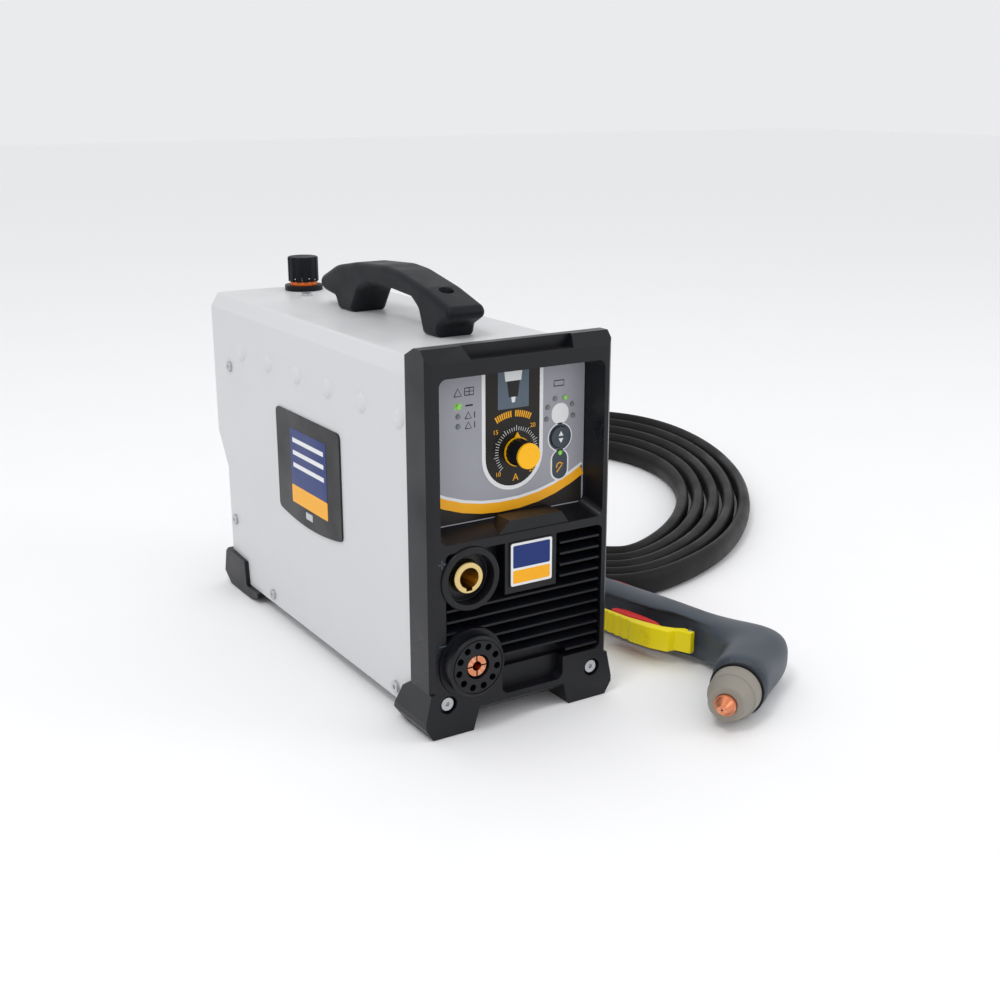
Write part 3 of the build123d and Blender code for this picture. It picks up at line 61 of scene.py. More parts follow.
# ---------------------------------------------------------------- materials
def finish(name, color, rough, metallic=0.0, grain=900.0, bump=0.15, vary=0.08, rough_vary=0.12,
           wear=None, coat=0.0, stretch=(1, 1, 1), depth=0.0002, specular=0.35):
    """Procedural finish: fine grain bump, slow colour and roughness change, optional worn edges."""
    material = bpy.data.materials.new(name)
    material.use_nodes = True
    tree = material.node_tree
    nodes, links = tree.nodes, tree.links
    shader = nodes["Principled BSDF"]
    shader.inputs["Metallic"].default_value = metallic
    shader.inputs["Coat Weight"].default_value = coat
    shader.inputs["Specular IOR Level"].default_value = specular
    place = nodes.new("ShaderNodeTexCoord")
    mapping = nodes.new("ShaderNodeMapping")
    mapping.inputs["Scale"].default_value = stretch
    links.new(place.outputs["Object"], mapping.inputs["Vector"])
    slow = nodes.new("ShaderNodeTexNoise")
    slow.inputs["Scale"].default_value = 22.0
    slow.inputs["Detail"].default_value = 5.0
    links.new(mapping.outputs["Vector"], slow.inputs["Vector"])
    fine = nodes.new("ShaderNodeTexNoise")
    fine.inputs["Scale"].default_value = grain
    fine.inputs["Detail"].default_value = 3.0
    links.new(mapping.outputs["Vector"], fine.inputs["Vector"])
    tones = nodes.new("ShaderNodeMix")
    tones.data_type = "RGBA"
    tones.inputs[6].default_value = (*[c * (1 - vary) for c in color], 1)
    tones.inputs[7].default_value = (*[min(1, c * (1 + vary)) for c in color], 1)
    links.new(slow.outputs["Fac"], tones.inputs[0])
    out = tones.outputs[2]
    if wear:
        geometry = nodes.new("ShaderNodeNewGeometry")
        edge = nodes.new("ShaderNodeMapRange")
        edge.inputs["From Min"].default_value, edge.inputs["From Max"].default_value = 0.53, 0.62
        edge.inputs["To Max"].default_value = 0.6
        links.new(geometry.outputs["Pointiness"], edge.inputs["Value"])
        worn = nodes.new("ShaderNodeMix")
        worn.data_type = "RGBA"
        worn.inputs[7].default_value = (*wear, 1)
        links.new(edge.outputs["Result"], worn.inputs[0])
        links.new(out, worn.inputs[6])
        out = worn.outputs[2]
    links.new(out, shader.inputs["Base Color"])
    gloss = nodes.new("ShaderNodeMapRange")
    gloss.inputs["From Min"].default_value, gloss.inputs["From Max"].default_value = 0.3, 0.7
    gloss.inputs["To Min"].default_value = max(0.04, rough - rough_vary)
    gloss.inputs["To Max"].default_value = min(1.0, rough + rough_vary)
    links.new(slow.outputs["Fac"], gloss.inputs["Value"])
    links.new(gloss.outputs["Result"], shader.inputs["Roughness"])
    relief = nodes.new("ShaderNodeBump")
    relief.inputs["Strength"].default_value = bump
    relief.inputs["Distance"].default_value = depth
    links.new(fine.outputs["Fac"], relief.inputs["Height"])
    links.new(relief.outputs["Normal"], shader.inputs["Normal"])
    return material


SILVER = finish("powder_coat", (0.64, 0.645, 0.655), 0.42, grain=1500, bump=0.18, vary=0.015)
ZINC = finish("zinc_plate", (0.55, 0.56, 0.58), 0.33, 0.9, grain=700, bump=0.1, vary=0.12)
BLACK = finish("black_moulding", (0.004, 0.0045, 0.007), 0.36, grain=1300, bump=0.3, vary=0.1, specular=0.34)
RUBBERY = finish("black_soft", (0.004, 0.005, 0.008), 0.46, grain=1000, bump=0.35, vary=0.12, specular=0.22)
OVERLAY = finish("overlay_silver", (0.33, 0.335, 0.37), 0.36, 0.0, grain=1800, bump=0.06, vary=0.03)
CHARCOAL = finish("plaque_charcoal", (0.016, 0.016, 0.018), 0.42, grain=1500, bump=0.2, vary=0.06)
KNOB_YELLOW = finish("cap_yellow", (0.95, 0.47, 0.0), 0.34, grain=900, bump=0.1, vary=0.04)
TRIGGER = finish("trigger_yellow", (0.88, 0.72, 0.0), 0.36, grain=900, bump=0.14, vary=0.04)
RED = finish("grip_red", (0.66, 0.018, 0.022), 0.42, grain=1000, bump=0.2, vary=0.05)
ORANGE = finish("ring_orange", (0.80, 0.16, 0.02), 0.36, grain=900, bump=0.1, vary=0.05)
SLATE = finish("torch_slate", (0.052, 0.064, 0.082), 0.44, grain=1100, bump=0.3, vary=0.06, specular=0.3)
TAUPE = finish("shield_taupe", (0.27, 0.25, 0.215), 0.46, grain=800, bump=0.2, vary=0.06, specular=0.3)
STEEL = finish("steel", (0.5, 0.51, 0.53), 0.3, 1.0, grain=600, bump=0.08, vary=0.1)
BRASS = finish("brass", (0.72, 0.55, 0.24), 0.28, 1.0, grain=500, bump=0.08, vary=0.08)
COPPER = finish("copper", (0.72, 0.26, 0.13), 0.3, 1.0, grain=500, bump=0.1, vary=0.08,
                wear=(0.85, 0.5, 0.36))
ALUMINIUM = finish("aluminium", (0.6, 0.61, 0.63), 0.35, 0.9, grain=700, bump=0.1, vary=0.05)
BOARD = finish("circuit_board", (0.02, 0.16, 0.06), 0.35, grain=500, bump=0.1, vary=0.2)
FERRITE = finish("ferrite", (0.05, 0.05, 0.052), 0.6, grain=400, bump=0.3, vary=0.15)
WINDING = finish("winding", (0.5, 0.18, 0.05), 0.3, 0.6, grain=120, bump=0.6, vary=0.2, stretch=(1, 12, 1))
TUBE_BLUE = finish("air_tube", (0.02, 0.09, 0.4), 0.25, grain=400, bump=0.05, vary=0.06)
HOSE = finish("hose_rubber", (0.0065, 0.0062, 0.0062), 0.5, grain=420, bump=0.5, vary=0.25, rough_vary=0.1,
              depth=0.0004, specular=0.2)
INK_DARK = finish("ink_slate", (0.045, 0.058, 0.075), 0.35, grain=1500, bump=0.05, vary=0.05)
INK_WHITE = finish("ink_white", (0.78, 0.79, 0.8), 0.35, grain=1500, bump=0.05, vary=0.02)
INK_YELLOW = finish("ink_yellow", (0.92, 0.42, 0.006), 0.35, grain=1500, bump=0.05, vary=0.04)
INK_BLUE = finish("ink_blue", (0.002, 0.022, 0.16), 0.35, grain=1500, bump=0.05, vary=0.05)
INK_BROWN = finish("ink_brown", (0.010, 0.008, 0.006), 0.35, grain=1500, bump=0.05, vary=0.05, specular=0.3)
INK_GREY = finish("ink_grey_blue", (0.095, 0.13, 0.17), 0.35, grain=1500, bump=0.05, vary=0.05)
INK_BLACK = finish("ink_black", (0.006, 0.006, 0.007), 0.4, grain=1500, bump=0.05, vary=0.05)
LENS_OFF = finish("lens_smoke", (0.16, 0.17, 0.17), 0.2, grain=800, bump=0.03, vary=0.05, coat=0.5)
LENS_GREEN = finish("lens_green", (0.25, 0.72, 0.06), 0.2, grain=800, bump=0.03, vary=0.05, coat=0.5)

# ---------------------------------------------------------------- finishes of the CAD nodes
# material and edge rounding in mm; 0 only welds, None leaves the mesh as it is
DRESS = {
    "casing_hood": (SILVER, None), "base_plate": (ZINC, 0.4), "rear_panel": (SILVER, 0.4),
    "front_frame": (BLACK, 0.9), "front_grille": (BLACK, None), "rear_feet": (BLACK, 0.8),
    "carry_handle": (RUBBERY, 0.5), "control_overlay": (OVERLAY, 0.12), "front_badge": (INK_BLACK, 0.2),
    "side_plaques": (CHARCOAL, 0.4), "housing_screws": (ZINC, 0.25), "current_knob": (RUBBERY, 0.3),
    "knob_markers": (KNOB_YELLOW, 0.3), "knob_spindle": (STEEL, 0.1), "current_potentiometer": (ZINC, 0.2),
    "air_test_button": (INK_DARK, 0.3), "panel_leds": (LENS_OFF, 0.1), "control_pcb": (BOARD, 0.1),
    "positive_socket_housing": (BLACK, 0.5), "positive_socket_brass": (BRASS, 0.4),
    "torch_socket_housing": (BLACK, 0.5), "torch_socket_contacts": (COPPER, 0.2),
    "regulator_body": (RUBBERY, 0.5), "regulator_lock_ring": (ORANGE, 0.3), "regulator_knob": (RUBBERY, 0.4),
    "regulator_spindle": (STEEL, 0.2), "mains_switch_body": (BLACK, 0.5), "mains_switch_rocker": (RED, 0.4),
    "cable_gland": (RUBBERY, 0.4), "air_inlet_fitting": (BRASS, 0.3), "air_line": (TUBE_BLUE, 0.0),
    "fan_frame": (BLACK, 0.4), "fan_rotor": (RUBBERY, 0.2), "fan_guard": (STEEL, 0.0),
    "power_board": (BOARD, 0.1), "power_transistors": (FERRITE, 0.2), "heatsinks": (ALUMINIUM, 0.2),
    "capacitors": (ALUMINIUM, 0.4), "transformer_core": (FERRITE, 0.4), "transformer_winding": (WINDING, 0.8),
    "output_choke": (WINDING, 0.4), "solenoid_valve": (BRASS, 0.4),
    "torch_handle_upper": (SLATE, None), "torch_handle_lower": (SLATE, None),
    "torch_grip_insert": (RED, None),
    "torch_trigger": (TRIGGER, 0.8), "torch_safety": (RED, 0.8), "trigger_pin": (STEEL, 0.1),
    "trigger_switch": (BLACK, 0.2), "torch_head_core": (TAUPE, 0.2), "torch_collar": (RUBBERY, 0.6),
    "torch_shield": (TAUPE, 0.6), "torch_nozzle": (COPPER, 0.5), "torch_strain_relief": (RUBBERY, 0.4),
    "plug_body": (BLACK, 0.5), "plug_pins": (BRASS, 0.1), "plug_ring": (RUBBERY, 0.5),
    "torch_lead": (HOSE, 0.0), "lead_coil": (HOSE, 0.0), "lead_tail": (HOSE, 0.0),
}


def soften(piece, size):
    """Welds split vertices and rounds the sharp edges so that they catch light."""
    if size is None:
        return
    weld = piece.modifiers.new("weld", "WELD")
    weld.merge_threshold = 0.00001
    if size:
        bevel = piece.modifiers.new("bevel", "BEVEL")
        bevel.width = size * MM
        bevel.segments = 2
        bevel.limit_method = "ANGLE"
        bevel.angle_limit = math.radians(28)
        bevel.use_clamp_overlap = True


for node, (material, size) in DRESS.items():
    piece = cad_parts[node]
    piece.data.materials.clear()
    piece.data.materials.append(material)
    soften(piece, size)


# ---------------------------------------------------------------- torch lead, a flat oval on its edge
LEAD_HALF_THICK, LEAD_HALF_TALL, LEAD_Z = 0.006, 0.010, 0.0102   # metres
# control points of the outer and the inner loop, x and y in mm; the values of two ellipses fitted to the
# photo, most of them then moved
COIL_OUT = [(156, -31), (121, 58), (116, 162), (190, 295), (297, 399), (406, 446),
            (491, 435), (527, 357), (506, 238), (436, 107), (330, 3), (217, -43)]
COIL_IN = [(199, 24), (174, 76), (167, 142), (213, 238), (262, 312), (334, 345),
           (396, 340), (428, 288), (421, 206), (371, 121), (301, 53), (230, 15)]
LOOP_POINTS = 12
LOOP_START = 2            # place in the loops of the first step
TURNS_INWARD = 4          # turns from the outer loop to the inner one
COIL_STEPS = 58           # from the first point past the torch to the inner end
APEX_STEP = 7             # the step that lies on the outer loop
SECTION_POINTS = 12
SECTION_GROW = 1.035      # the section runs a little inside its control points
RELIEF_END = (0.11464, 0.02510, 0.01493)
TAIL = [(0.207, 0.030, LEAD_Z), (0.189, 0.055, LEAD_Z), (0.182, 0.084, LEAD_Z), (0.188, 0.115, LEAD_Z),
        (0.207, 0.1496, 0.0242), (0.227, 0.1842, 0.0242)]

route = [RELIEF_END, (0.1062, 0.0636, LEAD_Z), (0.098, 0.108, LEAD_Z)]
for step in range(COIL_STEPS):
    turn_place = (LOOP_START + step) % LOOP_POINTS
    share = (step - APEX_STEP) / (TURNS_INWARD * LOOP_POINTS)
    outer, inner = Vector(COIL_OUT[turn_place]), Vector(COIL_IN[turn_place])
    point = outer.lerp(inner, share) * MM
    route.append((point.x, point.y, LEAD_Z))
route += TAIL

section = bpy.data.curves.new("lead_section", "CURVE")
section.dimensions = "2D"
ring = section.splines.new("NURBS")
ring.points.add(SECTION_POINTS - 1)
for i, p in enumerate(ring.points):
    a = 2 * math.pi * i / SECTION_POINTS
    p.co = (SECTION_GROW * LEAD_HALF_THICK * math.cos(a), SECTION_GROW * LEAD_HALF_TALL * math.sin(a), 0, 1)
ring.order_u = 3
ring.use_cyclic_u = True
section_object = bpy.data.objects.new("lead_section", section)

lead_curve = bpy.data.curves.new("torch_hose", "CURVE")
lead_curve.dimensions = "3D"
lead_curve.twist_mode = "Z_UP"
line = lead_curve.splines.new("NURBS")
line.points.add(len(route) - 1)
for p, place in zip(line.points, route):
    p.co = (*place, 1)
line.order_u = 3
line.use_endpoint_u = True
line.resolution_u = 8
lead_curve.bevel_mode = "OBJECT"
lead_curve.bevel_object = section_object
lead_curve.use_fill_caps = True
lead = bpy.data.objects.new("torch_hose", lead_curve)
bpy.context.scene.collection.objects.link(lead)
lead_curve.materials.append(HOSE)
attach(lead, "torch_set")
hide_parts("torch_lead", "lead_coil", "lead_tail")


# ---------------------------------------------------------------- helpers for print and covers
def add_mesh(name, bm, material, body, bevel=0.0):
    """Piece made from a bmesh, riding on a body; bevel in mm."""
    bmesh.ops.recalc_face_normals(bm, faces=bm.faces)
    mesh = bpy.data.meshes.new(name)
    bm.to_mesh(mesh)
    bm.free()
    mesh.materials.append(material)
    piece = bpy.data.objects.new(name, mesh)
    bpy.context.scene.collection.objects.link(piece)
    if bevel:
        soften(piece, bevel)
    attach(piece, body)
    return piece


def on_front(y):
    """Local x, z in mm on a vertical plane that faces -Y; height grows towards -Y."""
    return lambda a, b, h: Vector((a, y - h, b)) * MM


def slab(bm, outline, place, low, high):
    """Prism over an outline, from one height to another, on the surface that place describes."""
    bottom = [bm.verts.new(place(a, b, low)) for a, b in outline]
    top = [bm.verts.new(place(a, b, high)) for a, b in outline]
    count = len(outline)
    bm.faces.new(bottom)
    bm.faces.new(top)
    for i in range(count):
        j = (i + 1) % count
        bm.faces.new([bottom[i], bottom[j], top[j], top[i]])


def disc(cx, cz, r, count):
    """Outline of a circle."""
    return [(cx + r * math.cos(2 * math.pi * i / count), cz + r * math.sin(2 * math.pi * i / count))
            for i in range(count)]


def band(cx, cz, r_in, r_out, start, end, count=40):
    """Outline of an arc-shaped strip, angles in degrees."""
    angles = [math.radians(start + (end - start) * i / count) for i in range(count + 1)]
    return ([(cx + r_out * math.cos(t), cz + r_out * math.sin(t)) for t in angles]
            + [(cx + r_in * math.cos(t), cz + r_in * math.sin(t)) for t in reversed(angles)])


def pill(x0, x1, z0, z1, r, count=8):
    """Outline of a rectangle with round corners."""
    outline = []
    corners = ((x1 - r, z1 - r, 0), (x0 + r, z1 - r, 90), (x0 + r, z0 + r, 180), (x1 - r, z0 + r, 270))
    for cx, cz, start in corners:
        for i in range(count + 1):
            t = math.radians(start + 90 * i / count)
            outline.append((cx + r * math.cos(t), cz + r * math.sin(t)))
    return outline


def strip(path, width):
    """Outline of a strip of even width that follows a path."""
    left, right = [], []
    for i, (a, b) in enumerate(path):
        p, q = path[max(i - 1, 0)], path[min(i + 1, len(path) - 1)]
        along = Vector((q[0] - p[0], q[1] - p[1])).normalized()
        left.append((a - along.y * width / 2, b + along.x * width / 2))
        right.append((a + along.y * width / 2, b - along.x * width / 2))
    return left + right[::-1]


def print_on(name, outlines, place, low, high, material, body="housing"):
    """One thin piece of print: a slab for each outline, between two heights over the surface (mm)."""
    bm = bmesh.new()
    for outline in outlines:
        slab(bm, outline, place, low, high)
    return add_mesh(name, bm, material, body)


# ---------------------------------------------------------------- torch handle, smooth over both halves
# each ring: the point nearest to the machine, the point farthest from it, half height (mm)
HANDLE_RINGS = [((109.5, -4), (132.5, -4), 11.5), ((109, -20), (140, -20), 15.6),
                ((112, -40), (145, -38), 16.6), ((116.5, -62), (149.5, -58), 17),
                ((120, -79), (153.5, -75), 17), ((123, -95), (157, -90), 17),
                ((127, -111), (161, -106), 16.8), ((131, -127), (164.5, -122), 16.5),
                ((136, -144), (168, -140), 16), ((140, -160), (171, -157), 15.5),
                ((143, -178), (179, -178), 16.2), ((143, -190), (186, -192), 17.2),
                ((138, -197), (187, -209), 18), ((132, -202), (175, -222), 18.3),
                ((125, -207), (155, -232), 18.4), ((116, -213), (138, -243), 18.3),
                ((109.5, -219), (129.4, -250.4), 17.8)]
TORCH_Z = 18.5            # height of the torch's middle plane (mm)
SLOT_HALF = 12.4          # half height of the trigger slot
HANDLE_POWER = 0.76       # below 1 gives the sections fuller corners


def box_round(t):
    """Cosine and sine of an angle, pushed out from an ellipse towards a rounded box."""
    c, n = math.cos(t), math.sin(t)
    return math.copysign(abs(c) ** HANDLE_POWER, c), math.copysign(abs(n) ** HANDLE_POWER, n)


def ring_axes(left, right):
    """Middle of a ring and the half width across it, as vectors in mm."""
    left, right = Vector((*left, TORCH_Z)), Vector((*right, TORCH_Z))
    return (left + right) / 2, (right - left) / 2


def handle_mesh(rings, channel, count=28):
    """Rings with rounded-box sections; channel gives the depth of the trigger slot of each ring."""
    bm = bmesh.new()
    loops = []
    for k, (left, right, tall) in enumerate(rings):
        middle, across = ring_axes(left, right)
        loop = []
        for i in range(count):
            c, n = box_round(2 * math.pi * (i + 0.5) / count)
            if abs(n * tall) < SLOT_HALF:
                c = max(c, -1 + channel[k] / across.length)
            loop.append(bm.verts.new((middle + across * c + Vector((0, 0, n * tall))) * MM))
        loops.append(loop)
    for a, b in zip(loops, loops[1:]):
        for i in range(count):
            j = (i + 1) % count
            bm.faces.new([a[i], a[j], b[j], b[i]])
    bm.faces.new(loops[0])
    bm.faces.new(loops[-1])
    return bm


def smooth(piece, levels=2):
    """Smooth shading and a subdivision surface."""
    for face in piece.data.polygons:
        face.use_smooth = True
    rounder = piece.modifiers.new("rounder", "SUBSURF")
    rounder.levels = rounder.render_levels = levels
    return piece


TRIGGER_SLOT = [0, 0, 0, 3, 12, 12.5, 12.5, 12.5, 12, 8, 2, 0, 0, 0, 0, 0, 0]   # depth at each ring (mm)
handle = smooth(add_mesh("torch_handle", handle_mesh(HANDLE_RINGS, TRIGGER_SLOT), SLATE, "torch_set"))
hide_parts("torch_handle_upper", "torch_handle_lower")


GRIP_X, GRIP_Y = 148, -125
GRIP_SIN, GRIP_COS = 0.22, 0.9755   # of the angle between the grip and the Y axis


def in_grip(lx, ly, z):
    """Point of the grip's own axes: along the grip towards the head, across it, and height (mm)."""
    return Vector((GRIP_X + GRIP_SIN * lx + GRIP_COS * ly, GRIP_Y - GRIP_COS * lx + GRIP_SIN * ly, z)) * MM


def flat_piece(name, outline, half, material, body, bevel):
    """Slab over an outline in the grip's axes, half as thick to each side of the torch's middle plane."""
    bm = bmesh.new()
    slab(bm, outline, lambda a, b, h: in_grip(a, b, TORCH_Z + h), -half, half)
    return add_mesh(name, bm, material, body, bevel)


def wave(start, end, count, swing, steps=6):
    """Scalloped edge between two points of the grip's axes."""
    start, end = Vector(start), Vector(end)
    side = Vector(((end - start).y, -(end - start).x)).normalized()
    points = []
    for i in range(count * steps + 1):
        share = i / (count * steps)
        points.append(tuple(start.lerp(end, share) + side * swing * abs(math.sin(math.pi * share * count))))
    return points


trigger_outline = ([(36, -13), (36, -18), (25, -20.5), (23, -26.5), (10, -30), (-4, -30.6)]
                   + wave((-8, -30.6), (-36, -28), 4, 1.3)
                   + [(-38.8, -26.5), (-38.9, -23.6), (-26, -24), (-14, -24.6), (0, -23.2), (14, -21),
                      (22, -17.4), (27, -13)])
trigger = flat_piece("torch_trigger_cover", trigger_outline, 7.8, TRIGGER, "torch_trigger",
                     0.9)
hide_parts("torch_trigger")
print_on("trigger_emblem", [band(6, 18.5, 3.8, 4.6, 0, 350, 30), strip([(4, 19.7), (8, 19.7)], 0.8),
                            strip([(4, 17.3), (8, 17.3)], 0.8)],
         lambda a, b, h: in_grip(a, -30.2 - h, b), -0.4, 0.5, TRIGGER, "torch_trigger")
safety_outline = [(13.5, -21.2), (6, -18.0), (-6, -16.0), (-22, -15.4), (-31, -17.4), (-33, -21),
                  (-31, -22.9), (-14, -23.8), (0, -22.3)]
safety = flat_piece("torch_safety_cover", safety_outline, 8.2, RED, "torch_safety", 1.4)
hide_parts("torch_safety")


def shell_patch(name, spans, first, material, grow=0.5, count=10):
    """Thin skin over part of the handle: one pair of angles, in degrees, for each ring from the first."""
    bm = bmesh.new()
    rows = []
    for k, (start, end) in enumerate(spans):
        left, right, tall = HANDLE_RINGS[first + k]
        middle, across = ring_axes(left, right)
        across = across * (1 + grow / across.length)
        row = []
        for i in range(count + 1):
            c, n = box_round(math.radians(start + (end - start) * i / count))
            row.append(bm.verts.new((middle + across * c + Vector((0, 0, n * (tall + grow)))) * MM))
        rows.append(row)
    for a, b in zip(rows, rows[1:]):
        for i in range(count):
            bm.faces.new([a[i], a[i + 1], b[i + 1], b[i]])
    patch = add_mesh(name, bm, material, "torch_set")
    thicken = patch.modifiers.new("thicken", "SOLIDIFY")
    thicken.thickness = 1.2 * MM
    thicken.offset = -1
    return smooth(patch)


insert = shell_patch("torch_red_insert", [(4, 20), (0, 26), (-6, 50), (-6, 56), (-6, 44), (-4, 26), (0, 4)],
                     1, RED)
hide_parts("torch_grip_insert")
shell_patch("torch_red_cheek", [(150, 164), (128, 166), (134, 160)], 2, RED)


# ---------------------------------------------------------------- control panel print
PANEL = on_front(-147.6)
KNOB_X, KNOB_Z = 6.0, 170.5
U_X, U_Z, U_R = 3.3, 168.7, 19.6            # centre and radius of the dark tongue's round end
FIELD_TOP = 222.0
BUTTON_X, BUTTON_Z = 38.4, 175.2
TICK_START, TICK_SHORT, TICK_LONG, TICK_HALF = 13.2, 15.6, 16.6, 0.16
LED_ARC_X, LED_ARC_Z, LED_ARC_R = 38.2, 190.5, 10.3
LIT_LEDS = (3, 6, 9)
DIAL_FACE_Y = -0.14791                      # metres


def u_field(grow, top):
    """Tongue shape that hangs from the top edge and ends in a half circle."""
    r = U_R + grow
    return ([(U_X - r, top)] + [(U_X + r * math.cos(math.radians(t)), U_Z + r * math.sin(math.radians(t)))
                                for t in range(180, 361, 9)] + [(U_X + r, top)])


curve_low = [(-53.8, 152.0), (-44, 147.6), (-32, 143.6), (-19, 141.0), (-6, 140.0), (8, 140.3), (22, 142.2),
             (34, 145.4), (46, 150.2), (55.5, 155.2)]
print_on("panel_dark_foot", [curve_low + [(55.5, 131), (-53.8, 131)]], PANEL, 0, 0.05, INK_BROWN)
print_on("panel_yellow_arc", [strip([(x, z - 3.4) for x, z in curve_low], 6.6)],
         PANEL, 0.03, 0.12, INK_YELLOW)
print_on("panel_white_arc", [strip([(x, z + 0.6) for x, z in curve_low], 1.8)], PANEL, 0.05, 0.16, INK_WHITE)
print_on("panel_white_edge", [u_field(2.6, FIELD_TOP)], PANEL, 0.06, 0.20, INK_WHITE)
print_on("panel_dark_field", [u_field(0, FIELD_TOP)], PANEL, 0.16, 0.26, INK_BROWN)
print_on("panel_window_field", [[(-7.5, 198), (14.8, 198), (14.8, FIELD_TOP), (-7.5, FIELD_TOP)]],
         PANEL, 0.22, 0.32, INK_GREY)
hatches = []
for start in (62, 93):
    hatches += [band(3.6, 168.0, 24.6, 28.6, start + i * 3.3, start + i * 3.3 + 2.0, 2) for i in range(8)]
print_on("panel_hatch", hatches, PANEL, 0.24, 0.36, INK_YELLOW)
print_on("panel_torch_grey", [[(-3.0, 222), (10.0, 222), (9.2, 215), (-2.2, 215)],
                              [(2.0, 205), (5.2, 205), (4.6, 201.6), (2.6, 201.6)]],
         PANEL, 0.3, 0.40, INK_WHITE)
print_on("panel_torch_black", [[(-1.0, 215), (8.2, 215), (6.8, 205), (0.4, 205)]],
         PANEL, 0.3, 0.40, INK_BLACK)
ticks = []
for i in range(41):
    t = math.radians(-42 + i * 6.6)
    c, n = math.cos(t), math.sin(t)
    tick_end = TICK_LONG if i % 5 == 0 else TICK_SHORT
    ticks.append([(KNOB_X + r * c - w * n, KNOB_Z + r * n + w * c)
                  for r, w in ((TICK_START, TICK_HALF), (tick_end, TICK_HALF),
                               (tick_end, -TICK_HALF), (TICK_START, -TICK_HALF))])
print_on("panel_ticks", ticks, PANEL, 0.24, 0.34, INK_WHITE)
print_on("panel_button_pill", [pill(32.0, 44.8, 183.4, 197.0, 6.3), pill(31.6, 45.2, 147.0, 167.2, 6.6),
                               band(BUTTON_X, BUTTON_Z, 7.5, 9.2, 0, 359)], PANEL, 0.04, 0.18, INK_WHITE)
print_on("panel_pill_dark", [pill(32.7, 44.1, 148.1, 166.6, 5.6), band(BUTTON_X, BUTTON_Z, 7.5, 8.4, 0, 359)],
         PANEL, 0.16, 0.26, INK_DARK)
print_on("panel_pill_mark", [band(38.4, 156.2, 2.0, 2.7, 20, 200, 12),
                             strip([(36.2, 152.5), (41.0, 158.0)], 0.7)],
         PANEL, 0.24, 0.32, INK_YELLOW)
pictograms = []
for z in (197.4, 191.3):
    pictograms += [strip([(-30.4, z - 1.9), (-28.2, z + 2.1), (-26.0, z - 1.9), (-30.4, z - 1.9)], 0.55),
                   strip([(-23.8, z - 1.9), (-23.8, z + 1.9)], 0.6)]
pictograms += [strip([(-38, 209.6), (-35.4, 214.4), (-32.8, 209.6), (-38, 209.6)], 0.6),
               strip([(-30.6, 209.8), (-30.6, 214.2), (-24.4, 214.2), (-24.4, 209.8), (-30.6, 209.8)], 0.6),
               strip([(-27.5, 209.8), (-27.5, 214.2)], 0.5), strip([(-30.6, 212), (-24.4, 212)], 0.4),
               strip([(33.6, 208.0), (33.6, 211.4), (41.0, 211.4), (41.0, 208.0), (33.6, 208.0)], 0.6),
               strip([(-30.2, 203.5), (-25.0, 203.5)], 1.0)]
print_on("panel_pictograms", pictograms, PANEL, 0, 0.09, INK_BLACK)
print_on("panel_on_mark", [pill(-37.6, -33.0, 201.7, 205.3, 0.6)], PANEL, 0, 0.08, LENS_GREEN)
arrows = [[(36.6, 176.2), (40.2, 176.2), (38.4, 179.2)], [(36.6, 174.6), (40.2, 174.6), (38.4, 171.6)]]
button_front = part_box("air_test_button")[0].y / MM
print_on("button_arrows", arrows, on_front(button_front), -0.02, 0.08, INK_WHITE, body="air_test_button")


def number(name, text, x, z, size):
    """Dial number as a thin raised mesh, centred on x, z of the panel."""
    letters = bpy.data.curves.new(name, "FONT")
    letters.body, letters.size, letters.extrude = text, size * MM, 0.05 * MM
    letters.align_x, letters.align_y = "CENTER", "CENTER"
    shape = bpy.data.objects.new(name + "_text", letters)
    bpy.context.scene.collection.objects.link(shape)
    bpy.context.view_layer.update()
    mesh = bpy.data.meshes.new_from_object(shape.evaluated_get(bpy.context.evaluated_depsgraph_get()))
    bpy.data.objects.remove(shape)
    mesh.transform(Matrix.Translation((x * MM, DIAL_FACE_Y, z * MM)) @ Matrix.Rotation(math.pi / 2, 4, "X"))
    mesh.materials.clear()
    mesh.materials.append(INK_YELLOW)
    piece = bpy.data.objects.new(name, mesh)
    bpy.context.scene.collection.objects.link(piece)
    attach(piece, "housing")


for text, x, z, size in (("10", -7.4, 157.4, 4.0), ("15", -9.2, 184.2, 4.0), ("20", 17.9, 185.6, 4.0),
                         ("25", 17.2, 157.4, 4.0), ("A", 5.4, 154.0, 6.4)):
    number("dial_" + text, text, x, z, size)

LEDS = [(LED_ARC_X + LED_ARC_R * math.cos(math.radians(195 - 42 * i)),
         LED_ARC_Z + LED_ARC_R * math.sin(math.radians(195 - 42 * i))) for i in range(6)]
LEDS += [(-35.3, 203.5), (-35.3, 197.4), (-35.3, 191.3), (38.6, 165)]
led_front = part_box("panel_leds")[0].y / MM
for i, (x, z) in enumerate(LEDS):
    lit = i in LIT_LEDS
    bm = bmesh.new()
    slab(bm, disc(x, z, 1.5, 20), on_front(led_front), -0.1, 0.12)
    slab(bm, disc(x, z, 1.0, 20), on_front(led_front), 0.12, 0.3)
    add_mesh("led_%d" % i, bm, LENS_GREEN if lit else LENS_OFF, "housing", 0.1)

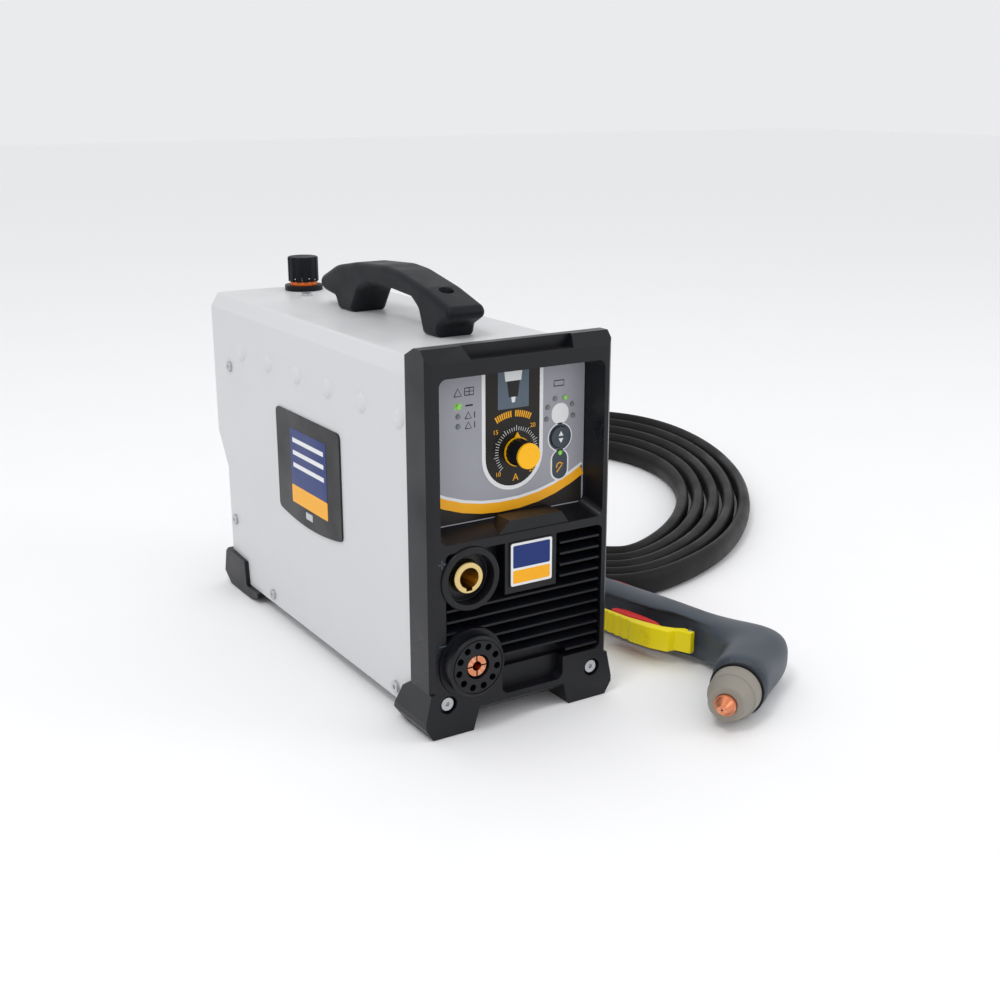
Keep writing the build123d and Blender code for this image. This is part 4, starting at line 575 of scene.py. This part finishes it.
# ---------------------------------------------------------------- plaques, socket marks, badge
CASE_HALF_WIDTH, PLAQUE_FACE = 63.5, 1.4    # the plaques' faces stand off the case's sides
for side in (-1, 1):
    name = "left" if side < 0 else "right"

    def plaque(a, b, h, side=side):
        """Local y, z in mm on the face of one side's plaque."""
        return Vector((side * (CASE_HALF_WIDTH + PLAQUE_FACE + h), a, b)) * MM

    print_on("plaque_blue_" + name, [pill(-23, 35, 116, 157, 1.2)], plaque, 0, 0.15, INK_BLUE)
    print_on("plaque_yellow_" + name, [pill(-23, 35, 103, 116, 1.2)], plaque, 0, 0.15, INK_YELLOW)
    stripes = [strip([(-19, 149 - 9 * k), (31, 149 - 9 * k)], 3.2) for k in range(3)]
    print_on("plaque_stripes_" + name, stripes, plaque, 0.1, 0.25, INK_WHITE)
    print_on("plaque_tag_" + name, [pill(2, 13, 95.5, 100.5, 0.8)], plaque, 0, 0.2, ZINC)

frame_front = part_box("front_frame")[0].y / MM
for name, x, z, upright in (("plus", -57.5, 113.5, True), ("minus", -57.5, 61.0, False)):
    marks = [strip([(x - 2.6, z), (x + 2.6, z)], 0.9)]
    if upright:
        marks.append(strip([(x, z - 2.6), (x, z + 2.6)], 0.9))
    print_on("socket_" + name, marks, on_front(frame_front), -0.05, 0.2, SLATE)
badge_face = on_front(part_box("front_badge")[0].y / MM)
print_on("badge_white", [pill(-8.2, 22.2, 89.4, 117.2, 1.4)], badge_face, 0, 0.12, INK_WHITE)
print_on("badge_blue", [pill(-6.6, 20.6, 101, 115.6, 1)], badge_face, 0.1, 0.22, INK_BLUE)
print_on("badge_yellow", [pill(-6.6, 20.6, 91, 99.4, 1)], badge_face, 0.1, 0.22, INK_YELLOW)

# ---------------------------------------------------------------- stage, light
FLOOR_HALF, FLOOR_Z = 9, -0.0004            # a little under the feet
floor_mesh = bpy.data.meshes.new("floor")
floor_corners = [(x * FLOOR_HALF, y * FLOOR_HALF, FLOOR_Z) for x, y in ((-1, -1), (1, -1), (1, 1), (-1, 1))]
floor_mesh.from_pydata(floor_corners, [], [(0, 1, 2, 3)])
floor = bpy.data.objects.new("floor", floor_mesh)
bpy.context.scene.collection.objects.link(floor)
floor_mesh.materials.append(finish("floor_paint", (0.965, 0.965, 0.97), 0.8, grain=60, bump=0.02, vary=0.004))

world = bpy.data.worlds.new("studio")
bpy.context.scene.world = world
world.use_nodes = True
world.node_tree.nodes["Background"].inputs["Color"].default_value = (0.93, 0.935, 0.95, 1)
world.node_tree.nodes["Background"].inputs["Strength"].default_value = 0.89


def area_light(name, place, target, size, power):
    """Rectangular light that looks at a target."""
    data = bpy.data.lights.new(name, "AREA")
    data.shape, data.size, data.size_y, data.energy = "RECTANGLE", size[0], size[1], power
    light = bpy.data.objects.new(name, data)
    light.location = place
    light.rotation_euler = (Vector(target) - Vector(place)).to_track_quat("-Z", "Y").to_euler()
    bpy.context.scene.collection.objects.link(light)


area_light("key", (-0.8, -0.55, 1.6), (0.0, 0, 0.1), (0.4, 0.4), 6.5)
area_light("fill", (1.5, -1.3, 1.1), (0.1, 0, 0.1), (0.8, 0.8), 4.5)
area_light("top", (0.2, 0.3, 2.0), (0.1, 0, 0.1), (1.2, 1.2), 2.2)
